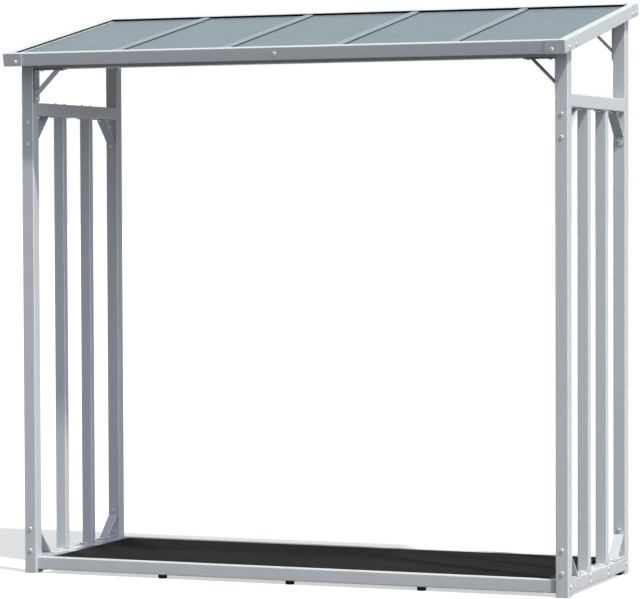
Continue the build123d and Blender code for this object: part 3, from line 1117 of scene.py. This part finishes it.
@dataclass
class Brackets(SubAssembly):
    """Corner brackets: a bent strip with round-cornered legs and a strut welded between them."""

    leg: float = 104.0
    width: float = 36.0
    corner: float = 10.0
    thick: float = 2.5
    bend: float = 2.2
    reach: float = 76.6
    strut_width: float = 31.0
    strut_thick: float = 4.5
    strut_sink: float = 0.4
    lip: float = 0.45
    weld: float = 1.8
    finish: Finish = FRAME_COAT

    def shape(self, shade_place: PaintedShade) -> Surface:
        """One bracket, with painted shade on its rims and, where asked, on its strut: legs along X and Y from
        its inner corner, width along Z.

        Args:
            shade_place: where the strut gets painted shade.

        Returns:
            The bracket's skin.
        """
        mid, half, round_end = self.thick / 2, self.width / 2, self.leg - self.corner
        swing = np.linspace(0, np.pi / 2, 9)[:-1]
        tip = np.stack([round_end + self.corner * np.cos(swing), np.full(len(swing), mid)], -1)
        half_tip = half - self.corner * (1 - np.sin(swing))
        legs, _ = rounded_path([(round_end, mid), (mid, mid), (mid, round_end)], self.bend)
        path = np.concatenate([tip, legs, tip[::-1, ::-1]])
        half_width = np.concatenate([half_tip, np.full(len(legs), half), half_tip[::-1]])
        sunk = self.thick - self.strut_sink
        ends = np.array([(self.reach, sunk), (sunk, self.reach)])
        shares, shear = np.array([0, 0.05, 0.95, 1]), np.array([-1, 0, 0, 1])
        strut_path = ends[0] + (ends[1] - ends[0]) * shares[:, None]
        strut_half = np.full(len(shares), self.strut_width / 2)
        across, spread = self.strut_width / 2 - 1, self.strut_thick / math.sqrt(2)
        seams = [(self.reach + side * spread, self.thick) for side in (-1, 1)]
        seams += [seam[::-1] for seam in seams]
        return joined([
            strip(path, half_width, self.thick, self.lip, PaintedShade.RIMS),
            strip(strut_path, strut_half, self.strut_thick, self.lip, shade_place, shear),
            *(bead((*seam, -across), (*seam, across), self.weld) for seam in seams),
        ])

    def pieces(self) -> Iterator[Piece]:
        """Two brackets under the roof and four in the side panel, on each side.

        Returns:
            The pieces, one after another.
        """
        # Roof brackets get painted shade on the backs of their struts; every bracket gets it on its rims.
        kinds = (
            ("roof", LAYOUT.roof_corners(), PaintedShade.BACK),
            ("side", LAYOUT.panel_corners(), PaintedShade.NOWHERE),
        )
        for side in Side:
            for kind, corners, shade_place in kinds:
                point, along, away = np.moveaxis(corners * [side.value, 1, 1], 1, 0)
                strips = self.shape(shade_place).repeated(point, np.stack([along, away, np.cross(along, away)], 1))
                name = f"{side.name.lower()}_{kind}_bracket"
                yield Piece(f"{name}_strips", strips, f"{name}s", self.finish)


@dataclass
class RoofRails(SubAssembly):
    """Roll-formed roof rails with folded tabs at the corners."""

    bend: float = 1.4
    tab_bend: float = 1.6
    front_tab: float = 65.0
    rear_tab: float = 50.0
    tab_return: float = 1.2
    rail_start: float = 1.1
    ledge_gap: float = 0.1
    finish: Finish = ROOF_COAT

    def rail(self, span: tuple[float, float], place: Place) -> Surface:
        """A rail over its span, rolled into flange, outer face, underside, inner face and ledge.

        Args:
            span: where the rail starts and stops.
            place: turns points in inward, down and span into roof places.

        Returns:
            The rail's skin.
        """
        m, t = LAYOUT.sheet / 2, LAYOUT.sheet
        inner, bottom, ledge = LAYOUT.box_width - m, LAYOUT.roof_rail - m, LAYOUT.ledge + m
        section = [(LAYOUT.flange, m), (m, m), (m, bottom), (inner, bottom), (inner, ledge)]
        sheet = folded_sheet([*section, (t + self.ledge_gap, ledge)], self.bend, t, span)
        return sheet.mapped(lambda p: LAYOUT.roof_place(place(p)))

    def tab(self, fold: Outline, thick: float) -> Surface:
        """A folded tab of this thickness, as deep as the rails; the fold is in x and place up the slope."""
        return folded_sheet(fold, self.tab_bend, thick, (0.0, LAYOUT.roof_rail)).mapped(LAYOUT.roof_place)

    def pieces(self) -> Iterator[Piece]:
        """Side rails with front tabs, the front rail, and the rear rail with its corner tabs.

        Returns:
            The pieces, one after another.
        """
        t, length, outer = LAYOUT.sheet, LAYOUT.roof_length, LAYOUT.outer_x
        inner, face, hem = outer - LAYOUT.flange, LAYOUT.front_face, LAYOUT.front_face / 2
        side_span = face + self.rail_start, length - t
        side = self.rail(side_span, lambda p: np.stack([outer - p[:, 0], p[:, 2], p[:, 1]], -1))
        hem_x, tab_end = outer - hem, outer - self.front_tab
        front_fold = [(hem_x, face + self.tab_return), (hem_x, hem), (tab_end, hem)]
        side = joined([side, self.tab(front_fold, face)])
        front = self.rail((-inner, inner), lambda p: np.stack([p[:, 2], face + p[:, 0], p[:, 1]], -1))
        rear = self.rail((-inner, inner), lambda p: np.stack([p[:, 2], length - p[:, 0], p[:, 1]], -1))
        tab_x, tab_y = outer + t / 2, length - t / 2
        corner = self.tab([(inner, tab_y), (tab_x, tab_y), (tab_x, length - self.rear_tab)], t)
        rear = joined([rear, corner, corner.mirrored()])
        rails = {"right": side, "left": side.mirrored(), "front": front, "rear": rear}
        for place, rail in rails.items():
            yield Piece(f"roof_{place}_rail_rolled", rail, f"roof_{place}_rail", self.finish)


@dataclass
class RoofCover(SubAssembly):
    """Roof sheets, the joint bars and gaskets between them, and the trim and seal round their edge."""

    count: int = 5
    sheet_thick: float = 4.0
    gap: float = 4.0
    edge_gap: float = 1.0
    waviness: float = 0.35
    cap_width: float = 27.0
    cap_bevel: float = 3.0
    cap_drop: float = 3.0
    cap_edge: float = 1.0
    cap_round: float = 0.5
    web: float = 3.0
    web_round: float = 0.2
    overlap: float = 0.5
    under_width: float = 30.0
    under_flange: float = 3.0
    under_round: float = 0.8
    gasket: float = 3.0
    gasket_width: float = 5.0
    gasket_outer: float = 14.0
    gasket_round: float = 0.9
    seal_width: float = 8.0
    seal_round: float = 1.2
    trim: float = 3.5
    rear_trim: float = 2.0
    trim_round: float = 0.6
    finish: Finish = PANEL_SHEET
    bar_finish: Finish = JOINT_BAR
    seal_finish: Finish = SEAL_RUBBER
    trim_finish: Finish = ROOF_COAT

    @property
    def joints(self) -> Array:
        """X of the joint bars, which part the roof evenly."""
        pitch = 2 * (LAYOUT.outer_x + LAYOUT.sheet) / self.count
        return (np.arange(1, self.count) - self.count / 2) * pitch

    @property
    def along(self) -> tuple[float, float]:
        """Where the sheets start and stop up the slope."""
        clear = LAYOUT.sheet + self.edge_gap
        return LAYOUT.front_face + clear, LAYOUT.roof_length - clear

    @property
    def open_along(self) -> tuple[float, float]:
        """Where the flanges leave the sheets open, up the slope."""
        return LAYOUT.front_face + LAYOUT.flange, LAYOUT.roof_length - LAYOUT.flange

    def sheet(self, low: float, high: float, shift: float) -> Surface:
        """A sheet that sags a little between its supports.

        The outline in x and depth is a long loop, carried up the slope. Its sag is a half sine across times a
        slow wave up the slope, and is nothing at the edges.

        Args:
            low: lowest x.
            high: highest x.
            shift: shift of the wave.

        Returns:
            The sheet's skin.
        """
        columns, rows, ease = 17, 25, 0.5
        top, bottom = LAYOUT.panel_drop, LAYOUT.panel_drop + self.sheet_thick
        across = np.concatenate([np.linspace(low + ease, high - ease, columns), [high, high]])
        across = np.concatenate([across, low + high - across])
        level = np.concatenate([np.full(columns, top), [top + ease, bottom - ease]])
        level = np.concatenate([level, top + bottom - level])
        v = np.linspace(0, 1, rows)[:, None]
        share = (across - low) / (high - low)
        level_sag, turn, lean = 1.2, 7.0, 2.0
        wave = level_sag + np.sin(turn * v + shift + lean * share)
        sag = self.waviness * np.sin(np.pi * share) * np.sin(np.pi * v) * wave
        start, stop = self.along
        points = np.stack(np.broadcast_arrays(across, start + (stop - start) * v, level + sag), -1)
        return Surface.grid(points).mapped(LAYOUT.roof_place)

    def joint_bar(self, x: float) -> Surface:
        """Cap with eased shoulders above the sheets, web between them and flange below.

        Args:
            x: middle of the bar.

        Returns:
            The bar's skin.
        """
        half, wide, web = self.cap_width / 2, self.under_width / 2, self.web / 2
        base, under = LAYOUT.panel_drop, LAYOUT.panel_drop + self.sheet_thick
        foot, end = base - self.gasket, LAYOUT.box_width + self.overlap
        (start, stop), (low, high) = self.open_along, self.along
        shoulder = [(half - self.cap_bevel, self.cap_drop), (half, foot - self.cap_edge), (half, foot)]
        mirror = [(-across, depth) for across, depth in shoulder[::-1]]
        outline, worn = rounded_path([*mirror, *shoulder], self.cap_round, steps=4)
        places = np.array([[start], [stop]])
        points = np.stack(np.broadcast_arrays(x + outline[:, 0], places, outline[:, 1]), -1)
        near, far = LAYOUT.front_face + end, LAYOUT.roof_length - end
        parts = [
            Surface.grid(points, worn),
            slab((x - web, start, foot - self.overlap), (x + web, stop, base), 1, self.web_round),
            slab((x - web, low, base), (x + web, high, under + self.overlap), 1, self.web_round),
            slab((x - wide, near, under), (x + wide, far, under + self.under_flange), 1, self.under_round),
        ]
        return joined(parts).mapped(LAYOUT.roof_place)

    def gaskets(self) -> Surface:
        """Soft strips between the caps of the joint bars and the sheets on both sides of them.

        Returns:
            All the strips as one surface.
        """
        (start, stop), base, outer = self.open_along, LAYOUT.panel_drop, self.gasket_outer
        lefts = [x + left for x in self.joints for left in (-outer, outer - self.gasket_width)]
        strips = [
            slab((x, start, base - self.gasket), (x + self.gasket_width, stop, base), 1, self.gasket_round)
            for x in lefts
        ]
        return joined(strips).mapped(LAYOUT.roof_place)

    def edge_strips(self) -> Iterator[Piece]:
        """Seal under the flanges and trim below it, on all four edges of the sheets.

        Returns:
            The pieces, one after another.
        """
        inner = LAYOUT.outer_x - LAYOUT.flange
        outer, drop = inner + self.seal_width, LAYOUT.panel_drop
        front, rear = self.open_along
        spans = {
            "front": ((-outer, front - self.seal_width), (outer, front), 0, self.trim),
            "rear": ((-outer, rear), (outer, rear + self.seal_width), 0, self.rear_trim),
            "right": ((inner, front), (outer, rear), 1, self.trim),
            "left": ((-outer, front), (-inner, rear), 1, self.trim),
        }
        for place, (low, high, axis, trim) in spans.items():
            layers = (
                ("seal", LAYOUT.sheet, drop - trim, self.seal_round, self.seal_finish),
                ("trim", drop - trim, drop, self.trim_round, self.trim_finish),
            )
            for kind, top, bottom, radius, finish in layers:
                skin = slab((*low, top), (*high, bottom), axis, radius).mapped(LAYOUT.roof_place)
                yield Piece(f"roof_{place}_{kind}_strip", skin, f"roof_{place}_{kind}", finish)

    def pieces(self) -> Iterator[Piece]:
        """Sheets, joint bars, gaskets, seals and trims.

        Returns:
            The pieces, one after another.
        """
        side, wave_shift = LAYOUT.outer_x - LAYOUT.sheet - self.edge_gap, 1.7
        starts = [-side, *(self.joints + self.gap / 2)]
        stops = [*(self.joints - self.gap / 2), side]
        for n, (low, high) in enumerate(zip(starts, stops), start=1):
            skin = self.sheet(low, high, wave_shift * n)
            yield Piece(f"roof_sheet_{n}", skin, f"roof_panel_{n}", self.finish)
        for n, x in enumerate(self.joints, start=1):
            yield Piece(f"roof_joint_cap_{n}", self.joint_bar(x), f"roof_joint_bar_{n}", self.bar_finish)
        yield Piece("roof_gasket_strips", self.gaskets(), "roof_joint_gaskets", self.seal_finish)
        yield from self.edge_strips()


@dataclass
class Feet(SubAssembly):
    """Moulded feet with a fluted wall, an eased sole and a recess for their screw."""

    radius: float = 14.0
    height: float = 12.0
    flutes: tuple[int, float] = (32, 0.018)
    post_gap: float = 2.0
    count: int = 3
    finish: Finish = FOOT_RUBBER

    def shape(self) -> Surface:
        """One foot, turned about Z: recess, sole, wall and rim.

        Returns:
            The foot's skin.
        """
        r, h = self.radius, self.height
        recess = [(3.2, 1.6, 0.0), (3.8, 0.9, 0.0), (4.2, 0.0, 0.3)]
        sole = [(r - 2.2, 0.0, 0.6), (r - 1.0, 0.5, 1.0), (r - 0.5, 1.5, 0.8)]
        wall = [(r - 0.25, 3.0, 0.3), (r - 0.25, h - 2.2, 0.0)]
        rim = [(r, h - 1.6, 0.6), (r, h - 0.6, 0.8), (r - 0.6, h, 0.2)]
        return turned([*recess, *sole, *wall, *rim], columns=96, flutes=self.flutes)

    def pieces(self) -> Iterator[Piece]:
        """Feet of the four lower rails.

        Returns:
            The pieces, one after another.
        """
        inner, inset = LAYOUT.inner_x, self.post_gap + self.radius
        row = -inner + 2 * inner * np.arange(1, self.count + 1) / (self.count + 1)
        beside = [LAYOUT.inner_face(end) - end.value * inset for end in End]
        groups = {end: [(x, LAYOUT.cross_y(end), 0.0) for x in row] for end in End}
        groups |= {side: [(side.value * LAYOUT.side_x, y, 0.0) for y in beside] for side in Side}
        for rail, places in groups.items():
            feet = self.shape().repeated(np.array(places), np.broadcast_to(np.eye(3), (len(places), 3, 3)))
            name = rail.name.lower()
            yield Piece(f"{name}_moulded_feet", feet, f"{name}_feet", self.finish)


@dataclass
class Fasteners(SubAssembly):
    """Round-headed socket screws and bolts, their nuts, and the tips that show.

    Seats are arrays of rows by 2 by 3: a point, and the way out of it.
    """

    flat: float = 4.9
    flange: float = 6.8
    ledge: float = 1.0
    crown: float = 5.9
    top: float = 3.6
    socket: float = 2.5
    height: float = 3.5
    shank: float = 3.0
    nut: float = 5.0
    tip: float = 4.0
    near: float = 21.0
    far: float = 90.0
    bracket: float = 2.5
    plate: float = 3.0
    slat_bolt: float = 31.0
    bar_pitch: float = 19.0
    bar_mid: float = 32.0
    front_tab: float = 43.0
    overhang: float = 43.5
    rear_tab: float = 32.0
    finish: Finish = ZINC

    def head(self) -> Surface:
        """Head on a seat at Z = 0: a flange, a crown that is a quarter ellipse, and a six-sided socket.

        The wear is below nothing where shade is painted: under the flange, round the crown and in the socket.

        Returns:
            The head's skin.
        """
        w, h, ledge, bore = self.flange, self.height, self.ledge, 3.0
        swing = np.linspace(0.15, 1.0, 6) * np.pi / 2
        across, up = self.top + (self.crown - self.top) * np.cos(swing), ledge + (h - ledge) * np.sin(swing)
        flange = [(w - 0.2, 0.0, -1.0), (w, 0.25, -0.6), (w, 0.65, 0.6), (w - 0.3, ledge - 0.05, 0.2)]
        crown = [(self.crown, ledge, -0.8), *((r, z, 0.3) for r, z in zip(across, up))]
        socket = [(bore, h, 0.8), (bore, h - 0.4, -0.6), (bore, h - 2.2, -1.0)]
        return turned([*flange, *crown, *socket], columns=24, flat=self.socket, cut=slice(-len(socket), None))

    def thread(self, start: float, stop: float) -> list[Triple]:
        """Rows of a threaded tip: ridges with painted shade between them, and an eased end.

        Args:
            start: height of its foot.
            stop: height of its end.

        Returns:
            The rows.
        """
        ridges = enumerate(np.linspace(start, stop - 0.7, 5))
        rows = [(self.shank - 0.28 * (k % 2), z, 0.3 - 0.9 * (k % 2)) for k, z in ridges]
        return [*rows, (self.shank - 0.9, stop, 0.5)]

    def nut_shape(self) -> Surface:
        """Nut on a seat at Z = 0 with the bolt's tip standing out of it.

        Returns:
            The skin of nut and tip.
        """
        f, n, s = self.flat - 0.1, self.nut, self.shank
        # Wear below nothing paints shade at the nut's foot and in its bore.
        foot = [(f, 0.0, -0.8), (5.4, 0.35, -0.3), (5.75, 0.7, 0.2)]
        crown = [(5.75, n - 0.7, 0.5), (5.4, n - 0.35, 0.8), (f, n, 0.4)]
        bore = [(s + 0.6, n, 0.0), (s, n - 0.35, -1.0)]
        rows = [*foot, *crown, *bore, *self.thread(n - 0.2, n + self.tip)]
        return turned(rows, columns=24, flat=self.flat, cut=slice(len(foot) + len(crown)))

    def collar_tip(self) -> Surface:
        """Threaded tip in the collar of a blind nut, on a seat at Z = 0."""
        # Wear below nothing paints shade at the collar's foot and where the tip leaves it.
        collar = [(5.0, 0.0, -0.8), (5.0, 0.5, 0.3), (4.6, 0.8, 0.6), (3.5, 0.8, 0.2), (3.05, 0.6, -1.0)]
        return turned([*collar, *self.thread(0.7, self.tip)], columns=18)

    def leg_seats(self, corners: Array, lift: float, post: bool) -> Array:
        """Two seats on a leg of each bracket.

        Args:
            corners: brackets by 3 by 3: inner corner, way along the rail or beam and way along the post.
            lift: how far the seats are from the tube's inner face; below nothing they face back behind it.
            post: whether it is the leg on the post.

        Returns:
            The seats.
        """
        point, run, out = np.moveaxis(corners[:, [0, 2, 1] if post else [0, 1, 2], None], 1, 0)
        reach = np.array([[self.near], [self.far]])
        seats = np.broadcast_arrays(point + run * reach + out * lift, out * math.copysign(1, lift))
        return np.stack(seats, -2).reshape(-1, 2, 3)

    def slat_seats(self, levels: Sequence[tuple[float, int]]) -> Array:
        """Seats of the slat bolts at levels, each a height and the sign of its way."""
        places = [y + offset for y in LAYOUT.slat_y() for offset in (-self.slat_bolt, self.slat_bolt)]
        return np.array([((LAYOUT.side_x, y, z), (0, 0, way)) for y in places for z, way in levels])

    def side_seats(self, places: Outline) -> Array:
        """Seats on the outer face of the right side at places in Y and Z."""
        return np.array([((LAYOUT.half_width, *place), (1, 0, 0)) for place in places])

    def roof_seats(self) -> Array:
        """Seats of the roof screws on the right half: three in the rail's side and one in each tab.

        Returns:
            The seats.
        """
        mid, outer = (LAYOUT.ledge + LAYOUT.roof_rail) / 2, LAYOUT.outer_x
        shift = LAYOUT.roof_front + mid * math.sin(LAYOUT.slope)
        posts = [LAYOUT.post_face(end) - end.value * LAYOUT.post / 2 - shift for end in End]
        alongs = [*(y / math.cos(LAYOUT.slope) for y in posts), self.overhang]
        places = [(outer, along, mid) for along in alongs]
        places.append((outer + LAYOUT.sheet, LAYOUT.roof_length - self.rear_tab, mid))
        places.append((outer - self.front_tab, 0.0, mid))
        ways = [(1, 0, 0)] * (len(places) - 1) + [LAYOUT.down_slope]
        return np.stack([LAYOUT.roof_place(np.array(places)), ways], 1)

    def pieces(self) -> Iterator[Piece]:
        """Every group of fasteners, on both sides of the rack.

        Returns:
            The pieces, one after another.
        """
        head, nut, tip = self.head(), self.nut_shape(), self.collar_tip()
        panel, roof = LAYOUT.panel_corners(), LAYOUT.roof_corners()
        low, high, rail = LAYOUT.lower_rail_top, LAYOUT.upper_rail_bottom, LAYOUT.rail_height
        plates = self.slat_seats([(low + self.plate, 1), (high - self.plate, -1)])
        beyond = self.slat_seats([(low - rail, -1), (high + rail, 1)])
        legs = [
            self.leg_seats(corners, self.bracket, post)
            for corners, post in ((panel, False), (roof, False), (roof, True))
        ]
        bars = [(y, self.bar_mid + side * self.bar_pitch / 2) for y in LAYOUT.slat_y() for side in (-1, 1)]
        rails = [(LAYOUT.cross_y(end), low - rail / 2) for end in End]
        groups = {
            "post_bolts": [(head, self.leg_seats(panel, -LAYOUT.post, True))],
            "post_nuts": [(nut, self.leg_seats(panel, self.bracket, True))],
            "bracket_screws": [(head, np.concatenate(legs))],
            "slat_bolts": [(head, plates), (tip, beyond)],
            "floor_bar_screws": [(head, self.side_seats(bars))],
            "lower_rail_screws": [(head, self.side_seats(rails))],
            "roof_screws": [(head, self.roof_seats())],
        }
        middle = LAYOUT.roof_place(np.array([0.0, LAYOUT.front_face, LAYOUT.roof_rail / 2]))
        for name, kinds in groups.items():
            parts = []
            for shape, right in kinds:
                seats = np.concatenate([right, right * [-1, 1, 1]])
                if name == "roof_screws":
                    seats = np.concatenate([seats, [(middle, LAYOUT.down_slope)]])
                parts.append(shape.repeated(seats[:, 0], axes_along(seats[:, 1])))
            yield Piece(f"{name}_turned", joined(parts), name, self.finish)


# Studio


def seen_white(graph: ShaderGraph) -> Signal:
    """1 for rays that show the surround itself: from the camera, off gloss and through clear pieces.

    Args:
        graph: the tree that gets the nodes.

    Returns:
        The greatest of the three signals.
    """
    kinds = ("Is Camera Ray", "Is Glossy Ray", "Is Transmission Ray")
    camera, glossy, through = (graph.node("ShaderNodeLightPath", output=kind) for kind in kinds)
    return camera | glossy | through


@dataclass(frozen=True)
class Lamp:
    """A distant lamp: the way to it, its power on a face square to it, its angle across and its colour."""

    name: str
    toward: Triple
    strength: float
    spread: float
    colour: Triple

    def build(self) -> None:
        """Add the lamp, with its Z turned to where its light comes from."""
        lamp = bpy.data.lights.new(self.name, "SUN")
        lamp.energy, lamp.angle, lamp.color = self.strength, math.radians(self.spread), self.colour
        axes = axes_along(unit(np.array([self.toward])))[0]
        linked(self.name, lamp).matrix_world = Matrix(axes.T.tolist()).to_4x4()


@dataclass
class Studio:
    """Pale floor, white surround, soft lamps and the camera."""

    floor_half: float = 150.0
    floor_tone: float = 0.12
    floor_glow: float = 0.6
    ambient: float = 0.13
    lamps: tuple[Lamp, ...] = (
        Lamp("key_lamp", (1.0, -0.5, 1.9), 3.95, 2.0, (1.0, 0.99, 0.83)),
        Lamp("sky_lamp", (0.85, -0.6, 0.75), 1.75, 75.0, (0.93, 0.96, 1.1)),
        Lamp("fill_lamp", (-0.7, 0.75, 0.09), 1.8, 16.0, WHITE),
    )
    camera_place: Triple = (3.5135, -8.7721, 1.1784)
    yaw: float = math.radians(21.858)
    pitch: float = math.radians(-1.959)
    roll: float = math.radians(-0.237)
    focal_pixels: float = 2986.1
    axis_pixel: tuple[float, float] = (320.45, 304.66)
    image: tuple[int, int] = (640, 599)
    sensor: float = 36.0
    farthest: float = 1000.0

    def build_floor(self) -> None:
        """A level square that shows white with a pale shadow, and is grey to the light that it sends back."""
        corners = np.array([[-1, -1, 0], [1, -1, 0], [1, 1, 0], [-1, 1, 0]], float) * self.floor_half
        mesh = bpy.data.meshes.new("studio_floor")
        mesh.from_pydata(corners.tolist(), [], [(0, 1, 2, 3)])
        paint = bpy.data.materials.new("studio_floor_white")
        paint.use_nodes = True
        graph = ShaderGraph(paint.node_tree)
        seen = seen_white(graph)
        tone = graph.mix(seen, (self.floor_tone,) * 3, WHITE)
        lit = graph.node("ShaderNodeBsdfDiffuse", inputs={"Color": tone})
        glow = graph.node("ShaderNodeEmission", inputs={"Color": WHITE})
        shader = graph.node("ShaderNodeMixShader", inputs={0: self.floor_glow * seen, 1: lit, 2: glow})
        graph.node("ShaderNodeOutputMaterial", inputs={"Surface": shader})
        mesh.materials.append(paint)
        linked("studio_floor", mesh)

    def build_surround(self) -> None:
        """White for the camera and for reflections, and the ambient level for everything else."""
        world = bpy.data.worlds.new("studio_surround")
        world.use_nodes = True
        bpy.context.scene.world = world
        graph = ShaderGraph(world.node_tree)
        strength = self.ambient + (1 - self.ambient) * seen_white(graph)
        shader = graph.node("ShaderNodeBackground", inputs={"Color": WHITE, "Strength": strength})
        graph.node("ShaderNodeOutputWorld", inputs={"Surface": shader})

    def build_camera(self) -> None:
        """Camera from its place, its turns and where its axis meets the image."""
        cp, sp = math.cos(self.pitch), math.sin(self.pitch)
        cr, sr = math.cos(self.roll), math.sin(self.roll)
        ahead = np.array([-math.sin(self.yaw) * cp, math.cos(self.yaw) * cp, sp])
        right = np.array([math.cos(self.yaw), math.sin(self.yaw), 0.0])
        up = np.cross(right, ahead)
        axes = np.stack([cr * right + sr * up, cr * up - sr * right, -ahead], -1)
        width, height = self.image
        lens = bpy.data.cameras.new("camera")
        lens.sensor_width = self.sensor
        lens.lens = self.focal_pixels * self.sensor / width
        lens.shift_x = (width / 2 - self.axis_pixel[0]) / width
        lens.shift_y = (self.axis_pixel[1] - height / 2) / width
        lens.clip_end = self.farthest
        holder = linked("camera", lens)
        holder.matrix_world = Matrix.Translation(self.camera_place) @ Matrix(axes.tolist()).to_4x4()
        bpy.context.scene.camera = holder

    def build(self) -> None:
        """Everything round the rack."""
        bpy.context.scene.view_settings.view_transform = "Standard"
        self.build_floor()
        self.build_surround()
        for lamp in self.lamps:
            lamp.build()
        self.build_camera()


def main() -> None:
    """Build every sub-assembly and the studio."""
    logging.basicConfig(level=logging.INFO, format="%(name)s: %(message)s")
    groups = (TubeFrame(), Slats(), FloorTray(), Brackets(), RoofRails(), RoofCover(), Feet(), Fasteners())
    for group in groups:
        group.build()
    Studio().build()


if __name__ == "__main__":
    main()
